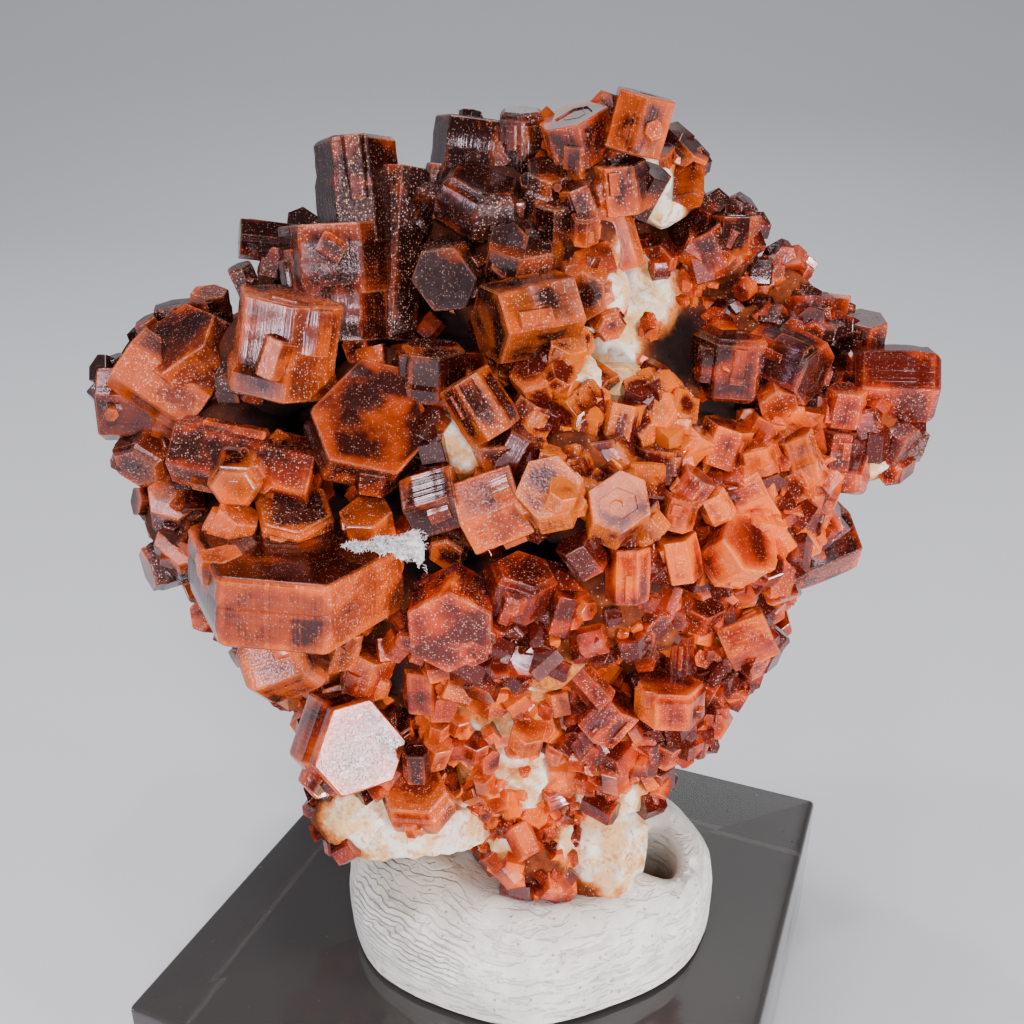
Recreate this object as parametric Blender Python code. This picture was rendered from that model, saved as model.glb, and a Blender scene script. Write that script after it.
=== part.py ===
"""Vanadinite on matrix, stuck with white mineral tack to a small square acrylic block.

The crystals in view are placed as they are seen from the front: every row gives a crystal's place
across and up the view, how far behind the middle of the block it stands, the way its long axis
points, and its size. Lengths are in millimetres and are turned to metres when the meshes are made.
"""
import math

import bmesh
import bpy
import numpy as np
from mathutils import Vector

for old in list(bpy.data.objects):
    bpy.data.objects.remove(old, do_unlink=True)

# driving dimensions (millimetres)
MM = 0.001
BLOCK_SIDE = 33.0            # square acrylic block
BLOCK_HEIGHT = 10.0
BLOCK_TURN = -22.5           # degrees about the upright axis
BLOCK_EDGE = 0.3             # softened edges
GAP = 0.3                    # clearance between neighbouring pieces
ROCK_GAP = 0.35              # clearance round bare rock
ROUGH_GAP = 1.2              # clearance of the coarser copy of the rock used out of sight
TACK_CENTRE = (1.0, -0.4)    # middle of the lump of tack on the block
TACK_HALF_WIDTH = 11.4
TACK_HALF_DEPTH = 9.8
TACK_HEIGHT = 6.4
HOLLOW_PLACE = (8.0, -0.6, 16.9)   # thumb hollow in the tack beside the rock's foot
HOLLOW_SIZE = (2.6, 2.9, 4.2)
TUFT_PLACE = (-6.7, -1.9, -10.2)   # across, up, behind the middle
TUFT_SIZE = (1.75, 0.7, 0.95)
ROCK_RINGS = 13              # fineness of the rock's skin where it shows
ROUGH_RINGS = 9              # and where it doesn't
LUMP_RADIUS = 1.16           # a coarse ball of this radius holds as much as a true one of radius 1
BACK_CRYSTALS = 26           # crystals on the side away from the viewer
BACK_SIZES = (1.4, 2.8)      # their least and greatest radius
BACK_LIFT = 2.3              # height of their middles over the rock's skin
BACK_CRUST = 3.0             # thickness of the crust they grow from
BACK_RINGS = 7               # fineness of that crust
BACK_FROM_Y = 2.4            # the crust lies behind this
BACK_FROM_Z = 20.4           # and above this
CUT_REACH = 80.0             # side of the boxes that trim it
WELD = 0.0005                # points closer than this are one

# the viewing direction that the crystal rows are written in
EYE = np.array((0.0, -53.0, 60.0))
EYE_DOWN = math.radians(24.0)
EYE_REACH = 58.0             # distance from the eye to the middle of the specimen
RIGHT = np.array((1.0, 0.0, 0.0))
AHEAD = np.array((0.0, math.cos(EYE_DOWN), -math.sin(EYE_DOWN)))
OVER = np.array((0.0, math.sin(EYE_DOWN), math.cos(EYE_DOWN)))

# heights of the rock's cross-sections and, at each, its left, right, front and back limits
ROCK_Z = (12.6, 14.0, 15.5, 17.5, 20.0, 24.0, 30.0, 37.0, 43.0, 48.0, 53.0)
ROCK_LEFT = (0.0, -1.5, -3.5, -7.0, -10.0, -12.0, -15.0, -17.5, -16.0, -11.0, -3.0)
ROCK_RIGHT = (5.5, 6.8, 7.2, 7.8, 8.5, 10.5, 14.0, 16.5, 15.5, 11.5, 6.5)
ROCK_FRONT = (-2.0, -3.5, -4.3, -5.0, -5.4, -5.6, -5.8, -5.2, -3.2, -1.0, 1.0)
ROCK_BACK = (2.5, 4.0, 5.0, 6.5, 8.0, 9.0, 10.0, 10.0, 9.5, 8.5, 6.0)

# One row a crystal: across, up, behind the middle; tilt of its axis from the line of sight, the
# clock direction that the axis leans in the view, turn about the axis (degrees); radius and
# half-height as seen at EYE_REACH.
CRYSTALS = {
    "crystals_tower": [
        (-8.2, 17.1, 0.5, 78, 356, 30, 2.35, 2.8),
        (-6.2, 13.8, 0.3, 80, 5, 10, 1.5, 4.5),
        (-9.0, 11.2, -1.5, 78, 0, 30, 2.5, 1.9),
        (-9.2, 13.6, -0.6, 76, 357, 30, 3.05, 1.8),
        (-13.0, 14.5, 0.5, 72, 272, 0, 1.1, 1.6),
        (-12.4, 13.3, 0.2, 80, 10, 10, 1.1, 0.8),
    ],
    "crystals_left_wing": [
        (-20.4, 5.9, -0.5, 80, 268, 5, 2.0, 1.6),
        (-18.6, 7.0, -1.5, 75, 305, 25, 1.9, 2.4),
        (-16.8, 8.3, -1.0, 40, 320, 20, 2.5, 1.8),
        (-17.9, 10.0, 1.3, 65, 350, 10, 1.2, 1.2),
        (-16.1, 10.6, 0.5, 55, 5, 0, 1.1, 1.3),
        (-19.2, 9.6, 0.4, 60, 330, 0, 0.75, 0.9),
        (-19.4, 3.1, -1.5, 45, 200, 10, 1.65, 1.4),
    ],
    "crystals_big_tabular": [
        (-12.0, 9.1, -4.0, 70, 12, 22, 3.15, 2.55),
        (-14.2, 12.2, -2.5, 60, 340, 10, 0.8, 1.1),
    ],
    "crystals_left_plates": [
        (-14.0, 2.7, -4.0, 84, 103, 28, 2.05, 3.9),
        (-14.8, 1.9, -6.0, 30, 170, 15, 1.5, 1.4),
        (-17.8, 0.4, -3.0, 35, 5, 20, 1.8, 0.9),
        (-17.4, -1.8, -3.5, 30, 20, 10, 1.75, 1.0),
        (-18.4, -2.7, -2.5, 60, 250, 10, 1.3, 1.2),
        (-19.3, 0.6, -2.0, 50, 270, 0, 0.9, 0.9),
    ],
    "crystals_thick_plate": [
        (-11.5, -3.2, -7.5, 66, 5, 30, 5.8, 2.0),
        (-15.4, -1.5, -7.0, 65, 33, 20, 1.3, 2.0),
        (-7.7, -0.8, -6.5, 50, 355, 20, 1.4, 1.1),
        (-11.7, -0.4, -6.0, 50, 10, 25, 2.3, 1.0),
        (-12.2, -7.7, -8.3, 82, 71, 30, 2.25, 1.95),
        (-9.5, -6.9, -6.5, 60, 20, 15, 1.5, 1.2),
    ],
    "crystals_lower_left": [
        (-8.8, -12.4, -6.5, 30, 95, 15, 3.0, 1.7),
        (-7.6, -8.4, -5.0, 66, 20, 20, 1.5, 1.3),
        (-4.8, -9.3, -5.5, 65, 0, 20, 1.2, 1.3),
        (-6.3, -12.0, -5.0, 50, 350, 0, 1.4, 1.2),
        (-5.0, -15.3, -6.0, 45, 350, 15, 1.9, 1.1),
        (-5.1, -13.5, -7.0, 60, 0, 30, 0.75, 1.0),
        (-4.2, -12.8, -5.8, 55, 20, 10, 0.95, 0.8),
        (-7.9, -16.2, -6.0, 45, 30, 10, 0.7, 0.6),
        (-9.3, -16.6, -4.5, 75, 320, 0, 0.85, 1.5),
    ],
    "crystals_middle_left": [
        (-7.5, 4.5, -5.0, 22, 40, 0, 3.6, 1.5),
        (-4.2, 7.6, -3.5, 62, 3, 20, 1.95, 1.3),
        (-1.7, 5.7, -6.0, 80, 328, 30, 1.6, 1.7),
        (-0.9, 0.2, -7.5, 80, 70, 4, 2.2, 1.7),
        (-4.1, 0.6, -7.0, 80, 74, 0, 1.95, 1.45),
        (-3.4, -1.7, -6.0, 40, 190, 0, 1.1, 1.0),
        (-0.6, 3.3, -6.0, 50, 350, 20, 1.6, 1.2),
    ],
    "crystals_top_centre": [
        (0.8, 10.5, -4.0, 65, 254, 30, 2.4, 2.3),
        (-3.2, 12.6, -2.5, 25, 215, 10, 1.9, 1.5),
        (0.2, 13.4, -2.0, 50, 10, 10, 2.0, 1.2),
        (-1.7, 16.6, -0.5, 50, 15, 0, 2.5, 1.4),
        (-2.1, 18.7, 2.5, 75, 8, 25, 2.7, 2.2),
        (-2.3, 20.8, 3.5, 80, 5, 25, 0.7, 0.7),
        (0.5, 19.7, 1.5, 60, 0, 0, 1.5, 1.8),
        (1.8, 17.5, -0.5, 40, 10, 10, 1.4, 1.1),
        (2.2, 15.9, -1.0, 45, 0, 0, 1.25, 1.0),
    ],
    "crystals_top_right": [
        (3.6, 20.2, 0.5, 55, 340, 0, 2.0, 1.2),
        (6.7, 20.9, -0.5, 65, 15, 5, 1.75, 1.5),
        (5.9, 17.5, -0.5, 60, 350, 20, 1.5, 1.3),
        (3.7, 16.7, -1.5, 60, 335, 25, 1.0, 0.9),
        (3.9, 15.2, -2.0, 50, 0, 10, 0.85, 0.8),
        (3.5, 19.0, -0.3, 50, 0, 10, 1.0, 0.9),
        (5.9, 14.5, -0.5, 78, 342, 20, 0.95, 1.5),
        (4.0, 11.9, -2.5, 35, 200, 20, 1.4, 1.0),
        (5.0, 10.3, -2.5, 45, 150, 10, 1.0, 0.9),
        (9.2, 18.8, 2.0, 50, 40, 10, 1.15, 1.0),
        (8.2, 18.7, 1.8, 50, 330, 0, 0.8, 0.8),
        (8.8, 17.1, 1.8, 60, 20, 10, 0.85, 0.8),
    ],
    "crystals_upper_right": [
        (10.6, 14.1, 2.0, 70, 330, 10, 1.15, 1.1),
        (12.0, 14.9, 2.5, 70, 0, 20, 1.25, 1.0),
        (13.2, 12.0, 3.0, 60, 10, 10, 1.3, 1.0),
        (15.3, 9.9, 2.5, 70, 3, 5, 1.75, 1.3),
        (18.7, 9.5, 2.5, 55, 0, 0, 1.4, 1.0),
        (11.7, 8.0, -0.5, 66, 2, 25, 2.1, 1.7),
        (14.7, 8.1, -1.0, 55, 125, 0, 1.7, 1.9),
        (14.2, 6.2, -1.8, 50, 180, 20, 1.1, 0.8),
    ],
    "crystals_far_right": [
        (20.4, 6.8, 0.5, 80, 93, 18, 2.2, 2.15),
        (20.3, 4.0, -0.5, 60, 130, 10, 1.4, 1.2),
        (17.8, 5.7, -1.0, 60, 3, 25, 1.1, 1.0),
        (17.5, 3.4, -1.5, 72, 4, 26, 1.1, 1.0),
        (17.9, 2.1, -1.5, 60, 100, 0, 1.3, 1.1),
    ],
    "crystals_right_druse": [
        (15.3, 3.0, -2.5, 72, 338, 24, 1.3, 1.3),
        (13.2, 2.2, -3.5, 74, 345, 22, 1.15, 1.35),
        (13.4, 4.2, -2.0, 66, 24, 10, 1.05, 0.95),
        (15.3, -1.1, -2.5, 64, 320, 10, 1.4, 1.2),
        (16.1, 0.4, -2.0, 50, 60, 0, 1.0, 0.9),
        (12.8, 0.6, -4.0, 72, 62, 4, 1.5, 1.15),
        (11.3, 3.7, -3.0, 70, 18, 26, 1.4, 1.1),
        (12.0, -2.1, -6.0, 40, 50, 20, 1.95, 1.2),
        (9.6, 1.3, -6.0, 68, 34, 12, 1.0, 0.9),
        (10.9, 0.4, -5.5, 66, 328, 12, 0.9, 0.85),
        (8.9, -2.3, -6.5, 65, 345, 15, 1.2, 1.3),
        (8.8, 0.1, -6.5, 70, 12, 26, 1.1, 0.9),
    ],
    "crystals_centre_upper": [
        (7.9, 4.6, -4.0, 76, 352, 28, 0.95, 1.6),
        (5.8, 4.9, -4.5, 70, 10, 24, 1.3, 1.2),
        (4.9, 3.3, -5.5, 66, 350, 24, 1.25, 0.9),
        (7.8, 2.6, -5.3, 72, 4, 26, 1.25, 0.9),
        (9.6, 3.6, -4.0, 66, 40, 6, 1.0, 0.95),
        (3.1, 4.9, -5.0, 64, 335, 6, 0.95, 0.85),
        (4.3, 5.9, -4.5, 50, 30, 20, 0.8, 0.8),
        (1.3, 7.1, -5.0, 30, 330, 10, 1.3, 1.0),
        (2.5, 7.3, -5.6, 35, 60, 10, 0.9, 0.7),
        (2.9, 8.6, -4.8, 47, 16, 14, 1.2, 0.7),
        (0.8, 5.2, -5.5, 66, 30, 12, 1.1, 1.0),
    ],
    "crystals_centre_front": [
        (0.4, 3.3, -6.5, 66, 28, 20, 1.3, 1.2),
        (2.0, 2.7, -7.0, 62, 12, 10, 0.85, 0.7),
        (3.6, 2.3, -7.0, 66, 338, 10, 0.85, 0.85),
        (2.1, 0.9, -9.0, 26, 340, 20, 2.0, 1.0),
        (2.6, 0.8, -10.0, 45, 20, 10, 0.95, 0.7),
        (5.7, 0.1, -8.5, 24, 8, 14, 1.85, 1.2),
    ],
    "crystals_lower_centre": [
        (6.2, -3.3, -8.0, 78, 0, 22, 1.25, 1.5),
        (3.8, -2.2, -8.0, 64, 322, 12, 1.2, 1.0),
        (7.0, -5.9, -7.0, 55, 352, 20, 1.25, 1.2),
        (5.0, -5.5, -7.0, 60, 0, 15, 1.15, 1.3),
        (3.2, -4.9, -7.5, 72, 355, 22, 0.75, 1.1),
        (0.4, -4.1, -8.0, 55, 15, 25, 1.9, 1.4),
        (-3.1, -5.7, -8.0, 28, 190, 10, 2.5, 1.6),
        (-0.6, -7.4, -7.5, 35, 20, 10, 1.2, 0.9),
        (2.3, -6.9, -7.0, 50, 330, 20, 0.7, 0.7),
        (1.5, -8.1, -7.0, 68, 332, 24, 0.95, 0.95),
    ],
    "crystals_lower_right": [
        (4.0, -9.2, -7.0, 80, 318, 25, 0.85, 1.5),
        (5.2, -11.0, -7.0, 70, 40, 8, 1.3, 1.2),
        (8.4, -10.0, -7.0, 74, 1, 28, 2.0, 1.0),
        (9.0, -7.8, -5.5, 82, 2, 20, 0.75, 1.25),
        (12.6, -6.7, -4.5, 78, 66, 12, 1.5, 1.3),
        (8.3, -12.1, -6.0, 45, 10, 10, 1.5, 0.9),
        (10.5, -8.8, -4.5, 66, 334, 10, 1.1, 0.95),
        (10.1, -5.5, -4.5, 45, 10, 10, 1.2, 1.0),
        (11.2, -4.2, -4.0, 50, 10, 10, 1.1, 0.8),
        (4.1, -14.2, -5.5, 50, 0, 20, 0.85, 0.7),
        (7.1, -14.4, -4.5, 60, 330, 10, 1.05, 0.85),
        (5.6, -14.3, -5.0, 45, 20, 10, 0.75, 0.7),
        (2.6, -12.5, -6.0, 45, 10, 10, 0.9, 0.7),
    ],
    "crystals_foot": [
        (1.9, -10.5, -5.8, 50, 10, 20, 0.7, 0.7),
        (-2.0, -12.5, -5.6, 45, 10, 10, 0.85, 0.7),
        (-1.5, -14.3, -5.4, 45, 350, 10, 0.75, 0.6),
        (-3.9, -11.5, -5.6, 45, 10, 20, 0.7, 0.6),
        (-2.9, -11.3, -5.6, 50, 20, 10, 0.6, 0.6),
        (1.5, -17.2, -4.7, 45, 330, 10, 1.1, 0.8),
    ],
}

# One row a lump of crust that a group grows from: across, up, behind the middle; radius and the
# half-depth along the line of sight.
ROOTS = {
    "crystals_tower": [(-8.2, 12.8, 1.6, 3.6, 1.8), (-11.5, 13.0, 1.6, 2.0, 1.2)],
    "crystals_left_wing": [(-17.6, 6.6, 1.2, 3.6, 2.6)],
    "crystals_big_tabular": [(-12.6, 8.2, -1.6, 3.0, 2.8)],
    "crystals_left_plates": [(-14.2, 3.4, -2.4, 3.0, 2.6),
                             (-16.6, -0.4, -2.0, 2.8, 2.4)],
    "crystals_thick_plate": [(-11.2, -2.6, -4.4, 4.6, 2.4), (-10.8, -6.4, -5.0, 2.4, 2.2)],
    "crystals_lower_left": [(-7.6, -11.8, -3.4, 3.2, 2.4), (-5.6, -14.6, -4.6, 2.2, 1.6),
                            (-8.2, -15.8, -4.9, 2.4, 1.8)],
    "crystals_middle_left": [(-6.6, 5.4, -3.4, 3.4, 1.8), (-2.4, 3.4, -4.6, 3.0, 2.0),
                             (-2.2, 0.2, -5.2, 2.4, 2.2)],
    "crystals_top_centre": [(-1.2, 15.8, 0.8, 3.6, 2.0), (-0.6, 12.2, -1.2, 3.0, 2.0)],
    "crystals_top_right": [(4.6, 18.4, 1.0, 3.2, 1.8), (4.2, 14.4, -0.4, 2.0, 1.6),
                           (4.6, 11.6, -1.6, 1.8, 1.4), (8.0, 17.6, 2.4, 2.2, 1.6)],
    "crystals_upper_right": [(11.0, 14.2, 3.6, 2.2, 1.8),
                             (13.6, 11.0, 3.4, 2.6, 2.0), (13.6, 8.0, 1.0, 3.2, 2.0),
                             (17.2, 9.2, 3.0, 1.8, 1.2)],
    "crystals_far_right": [(18.6, 4.6, 0.8, 2.8, 2.2)],
    "crystals_right_druse": [(13.4, 2.2, -0.6, 3.6, 2.6), (11.8, -0.8, -3.0, 3.6, 2.4),
                             (15.0, -1.0, -1.0, 1.8, 1.8)],
    "crystals_centre_upper": [(5.6, 4.2, -3.4, 3.8, 1.6), (2.2, 6.6, -3.6, 2.6, 1.6)],
    "crystals_centre_front": [(2.8, 1.4, -6.0, 3.2, 2.0), (5.8, 0.4, -6.6, 2.0, 1.6)],
    "crystals_lower_centre": [(4.8, -4.2, -6.2, 3.4, 2.2), (-1.4, -5.4, -6.4, 3.4, 2.2),
                              (1.6, -6.6, -6.6, 3.0, 1.8), (6.8, -5.6, -6.0, 2.0, 1.8)],
    "crystals_lower_right": [(5.0, -11.6, -5.4, 2.8, 1.6), (8.4, -10.8, -4.8, 2.6, 2.0),
                             (10.6, -6.6, -2.6, 3.0, 2.4), (5.6, -14.0, -4.4, 2.4, 1.4)],
    "crystals_foot": [],
}


def sight(across, up, back):
    """Where the line of sight through (across, up) meets the upright plane `back` behind the
    middle, with the size that one millimetre of the view has there."""
    line = AHEAD + across / EYE_REACH * RIGHT + up / EYE_REACH * OVER
    reach = (back - EYE[1]) / line[1]
    return EYE + reach * line, reach / EYE_REACH


def rock_point(around, height):
    """A point of the rock's skin: the cross-section limits read at a height from 0 to 1, closed
    to a point at both ends, with rolling lumps added by a sum of sines."""
    z = ROCK_Z[0] + (ROCK_Z[-1] - ROCK_Z[0]) * height
    left, right, front, back = (np.interp(z, ROCK_Z, side) for side in
                                (ROCK_LEFT, ROCK_RIGHT, ROCK_FRONT, ROCK_BACK))
    closing = (1.0 - (2.0 * height - 1.0) ** 2) ** 0.28
    lumps = 1.0 + 0.035 * np.sin(5 * around + 9 * height) + 0.03 * np.sin(9 * around - 14 * height)
    x = (left + right) / 2 + (right - left) / 2 * closing * lumps * np.cos(around)
    y = (front + back) / 2 + (back - front) / 2 * closing * lumps * np.sin(around)
    z = z + 0.35 * np.sin(3 * around + 1.0) * np.sin(math.pi * height)
    return np.array((x, y, z))


def volume(faces):
    """Signed volume closed in by faces."""
    total = 0.0
    for face in faces:
        first = face.verts[0].co
        for a, b in zip(face.verts[1:-1], face.verts[2:]):
            total += first.dot(a.co.cross(b.co)) / 6.0
    return total


def object_from(name, bm):
    """A mesh object made from a bmesh in millimetres, its faces turned outward."""
    mesh = bpy.data.meshes.new(name)
    bmesh.ops.recalc_face_normals(bm, faces=bm.faces)
    if volume(bm.faces) < 0:
        bmesh.ops.reverse_faces(bm, faces=bm.faces)
    bm.to_mesh(mesh)
    bm.free()
    piece = bpy.data.objects.new(name, mesh)
    bpy.context.scene.collection.objects.link(piece)
    return piece


def prism(name, centre, axis, side, radius, half):
    """A six-sided prism about `centre`; `side` is the direction of one upright edge."""
    axis, side = Vector(axis).normalized(), Vector(side).normalized()
    bm = bmesh.new()
    bmesh.ops.create_cone(bm, cap_ends=True, segments=6, radius1=radius, radius2=radius,
                          depth=2 * half)
    across = axis.cross(side)
    for v in bm.verts:
        v.co = Vector(centre) + v.co.x * side + v.co.y * across + v.co.z * axis
    return object_from(name, bm)


def crystal(name, row, grow=0.0):
    """One crystal of the rows above, larger all round by `grow`."""
    across, up, back, tilt, clock, turn, radius, half = row
    centre, scale = sight(across, up, back)
    tilt, clock, turn = math.radians(tilt), math.radians(clock), math.radians(turn)
    lean = math.sin(clock) * RIGHT + math.cos(clock) * OVER
    axis = math.sin(tilt) * lean - math.cos(tilt) * AHEAD
    first = math.cos(tilt) * lean + math.sin(tilt) * AHEAD
    side = math.cos(turn) * first + math.sin(turn) * np.cross(axis, first)
    return prism(name, centre, axis, side, radius * scale + grow * 1.155, half * scale + grow)


def lump(name, row, grow=0.0):
    """A rounded lump of crust, flattened along the line of sight."""
    across, up, back, radius, depth = row
    centre, scale = sight(across, up, back)
    bm = bmesh.new()
    bmesh.ops.create_icosphere(bm, subdivisions=1, radius=LUMP_RADIUS)
    wide, deep = radius * scale + grow, depth * scale + grow
    for v in bm.verts:
        at = centre + wide * v.co.x * RIGHT + wide * v.co.z * OVER + deep * v.co.y * AHEAD
        v.co = Vector(at)
    return object_from(name, bm)


def box(name, middle, side):
    """A cube, turned by a hair so that none of its faces lies flat on another's."""
    bm = bmesh.new()
    bmesh.ops.create_cube(bm, size=side)
    for v in bm.verts:
        v.co += Vector(middle) + Vector((0.0, 0.01 * v.co.x, 0.01 * v.co.y))
    return object_from(name, bm)


def rock(name, grow, rings):
    """The rock, a ball pushed out to the rock's skin, larger all round by `grow`."""
    bm = bmesh.new()
    bmesh.ops.create_uvsphere(bm, u_segments=2 * rings, v_segments=rings, radius=1.0)
    for v in bm.verts:
        v.co = Vector(rock_point(math.atan2(v.co.y, v.co.x), min(max((v.co.z + 1) / 2, 0.0), 1.0)))
    bm.normal_update()
    pushed = [v.co + v.normal * grow for v in bm.verts]
    for v, co in zip(bm.verts, pushed):
        v.co = co
    bmesh.ops.triangulate(bm, faces=bm.faces)
    return object_from(name, bm)


def combine(target, operation, others):
    """Join `others` to the target or cut them from it one after another, and drop the others.
    A cutter that doesn't reach the target is left out."""
    batches = [others] if operation == "UNION" else [[other] for other in others]
    for batch in batches:
        own = np.array([v.co for v in target.data.vertices])
        far = np.array([v.co for other in batch for v in other.data.vertices])
        if np.any(own.min(0) > far.max(0)) or np.any(own.max(0) < far.min(0)):
            continue
        group = bpy.data.collections.new("operands")
        bpy.context.scene.collection.children.link(group)
        for other in batch:
            group.objects.link(other)
        step = target.modifiers.new(operation, "BOOLEAN")
        step.operation, step.solver = operation, "EXACT"
        step.operand_type, step.collection = "COLLECTION", group
        bpy.context.view_layer.update()
        seen = target.evaluated_get(bpy.context.evaluated_depsgraph_get())
        mesh = bpy.data.meshes.new_from_object(seen)
        target.modifiers.clear()
        target.data = mesh
        bpy.data.collections.remove(group)
    for other in others:
        bpy.data.objects.remove(other, do_unlink=True)


def keep_largest(target):
    """Weld the mesh and keep only its largest closed body."""
    bm = bmesh.new()
    bm.from_mesh(target.data)
    bmesh.ops.remove_doubles(bm, verts=bm.verts, dist=WELD)
    bmesh.ops.dissolve_degenerate(bm, edges=bm.edges, dist=WELD)
    bmesh.ops.dissolve_limit(bm, angle_limit=math.radians(0.6), verts=bm.verts, edges=bm.edges)
    loose, bodies = set(bm.faces), []
    while loose:
        body, waiting = [], [loose.pop()]
        while waiting:
            face = waiting.pop()
            body.append(face)
            for edge in face.edges:
                for near in edge.link_faces:
                    if near in loose:
                        loose.remove(near)
                        waiting.append(near)
        bodies.append((volume(body), body))
    bodies.sort(key=lambda item: item[0])
    kept = bodies[-1][1]
    print(target.name, "faces", len(kept), "volumes", [round(b[0], 2) for b in bodies][-5:],
          "open edges", sum(1 for e in bm.edges if len(e.link_faces) != 2))
    bmesh.ops.delete(bm, geom=[f for _, body in bodies[:-1] for f in body], context="FACES")
    bmesh.ops.delete(bm, geom=[v for v in bm.verts if not v.link_faces], context="VERTS")
    bm.to_mesh(target.data)
    bm.free()


def box_of(group):
    """Rough limits of a crystal group, for finding its neighbours."""
    low, high = np.full(3, np.inf), np.full(3, -np.inf)
    for across, up, back, *_, radius, half in CRYSTALS[group] + ROOTS[group]:
        centre, scale = sight(across, up, back)
        reach = math.hypot(radius, half) * scale
        low, high = np.minimum(low, centre - reach), np.maximum(high, centre + reach)
    return low, high


def grown(name):
    """Cutters of a crystal group: its crystals and lumps, larger by the clearance."""
    parts = [crystal("cutter", row, GAP) for row in CRYSTALS[name]]
    return parts + [lump("cutter", row, GAP) for row in ROOTS[name]]


FOOT = "crystals_foot"      # small crystals that stay fused to the rock
BESIDE_BARE_ROCK = ("crystals_lower_left", "crystals_lower_right", "crystals_top_right")
done = {}

# matrix rock
matrix = rock("matrix_rock", 0.0, ROCK_RINGS)
combine(matrix, "UNION", [crystal("part", row) for row in CRYSTALS[FOOT]])
keep_largest(matrix)
done["matrix_rock"] = matrix

# crystal groups in view
names = [name for name in CRYSTALS if name != FOOT]
boxes = {name: box_of(name) for name in names}
for index, name in enumerate(names):
    body = crystal(name, CRYSTALS[name][0])
    rest = [crystal("part", row) for row in CRYSTALS[name][1:]]
    combine(body, "UNION", rest + [lump("part", row) for row in ROOTS[name]])
    keep_largest(body)
    bare = name in BESIDE_BARE_ROCK
    gap, rings = (ROCK_GAP, ROCK_RINGS) if bare else (ROUGH_GAP, ROUGH_RINGS)
    combine(body, "DIFFERENCE", [rock("cutter", gap, rings)] + grown(FOOT))
    for other in names[:index]:
        low, high = boxes[other]
        if np.all(low < boxes[name][1] + ROUGH_GAP) and np.all(high > boxes[name][0] - ROUGH_GAP):
            combine(body, "DIFFERENCE", grown(other))
    keep_largest(body)
    done[name] = body

# crust and crystals at the back
back = rock("crystals_back", BACK_CRUST, BACK_RINGS)
rng = np.random.default_rng(41)
parts = []
for k in range(BACK_CRYSTALS):
    height = 0.30 + 0.66 * (k + 0.5) / BACK_CRYSTALS
    around = math.radians(8.0 + (k * 61.8) % 164.0)
    here = rock_point(around, height)
    along = rock_point(around + 0.05, height) - here
    upward = rock_point(around, min(height + 0.02, 1.0)) - here
    outward = np.cross(along, upward)
    outward /= np.linalg.norm(outward)
    lean = outward + 0.55 * rng.normal(size=3)
    spin = np.cross(lean, rng.normal(size=3))
    size = rng.uniform(*BACK_SIZES)
    half = size * rng.uniform(0.55, 1.1)
    parts.append(prism("part", here + outward * BACK_LIFT, lean, spin, size, half))
combine(back, "UNION", parts)
trims = [box("cutter", (0.0, BACK_FROM_Y - CUT_REACH / 2, BACK_FROM_Z), CUT_REACH),
         box("cutter", (0.0, 0.0, BACK_FROM_Z - CUT_REACH / 2), CUT_REACH)]
combine(back, "DIFFERENCE", [rock("cutter", ROUGH_GAP, ROUGH_RINGS)] + trims)
for name in names:
    combine(back, "DIFFERENCE", grown(name))
keep_largest(back)
done["crystals_back"] = back

# mineral tack
bm = bmesh.new()
bmesh.ops.create_uvsphere(bm, u_segments=28, v_segments=10, radius=1.0)
below = [v for v in bm.verts if v.co.z < -0.01]
bmesh.ops.delete(bm, geom=below, context="VERTS")
bmesh.ops.holes_fill(bm, edges=[e for e in bm.edges if len(e.link_faces) == 1], sides=0)
for v in bm.verts:
    around = math.atan2(v.co.y, v.co.x)
    spread = math.sqrt(max(1.0 - v.co.z ** 2, 0.0))
    wavy = 1.0 + 0.02 * math.sin(3 * around + 0.7) + 0.012 * math.sin(7 * around)
    rise = max(v.co.z, 0.0) ** 0.55
    v.co = Vector((TACK_CENTRE[0] + TACK_HALF_WIDTH * wavy * spread * math.cos(around),
                   TACK_CENTRE[1] + TACK_HALF_DEPTH * wavy * spread * math.sin(around),
                   BLOCK_HEIGHT + GAP + TACK_HEIGHT * rise))
bmesh.ops.triangulate(bm, faces=[f for f in bm.faces if len(f.verts) < 5])
tack = object_from("mineral_tack", bm)
bm = bmesh.new()
bmesh.ops.create_icosphere(bm, subdivisions=2, radius=1.0)
for v in bm.verts:
    v.co = Vector(HOLLOW_PLACE) + Vector(HOLLOW_SIZE) * v.co
hollow = object_from("cutter", bm)
combine(tack, "DIFFERENCE", [rock("cutter", ROCK_GAP, ROCK_RINGS), hollow])
combine(tack, "DIFFERENCE", grown(FOOT) + grown("crystals_lower_left")
        + grown("crystals_lower_right"))
keep_largest(tack)
done["mineral_tack"] = tack

# acrylic block
bm = bmesh.new()
bmesh.ops.create_cube(bm, size=1.0)
for v in bm.verts:
    v.co = Vector((v.co.x * BLOCK_SIDE, v.co.y * BLOCK_SIDE, (v.co.z + 0.5) * BLOCK_HEIGHT))
bmesh.ops.bevel(bm, geom=bm.edges[:], offset=BLOCK_EDGE, segments=1, affect="EDGES", profile=0.5)
turn = math.radians(BLOCK_TURN)
for v in bm.verts:
    x, y = v.co.x, v.co.y
    v.co.x = x * math.cos(turn) - y * math.sin(turn)
    v.co.y = x * math.sin(turn) + y * math.cos(turn)
block = object_from("acrylic_block", bm)
done["acrylic_block"] = block

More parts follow.
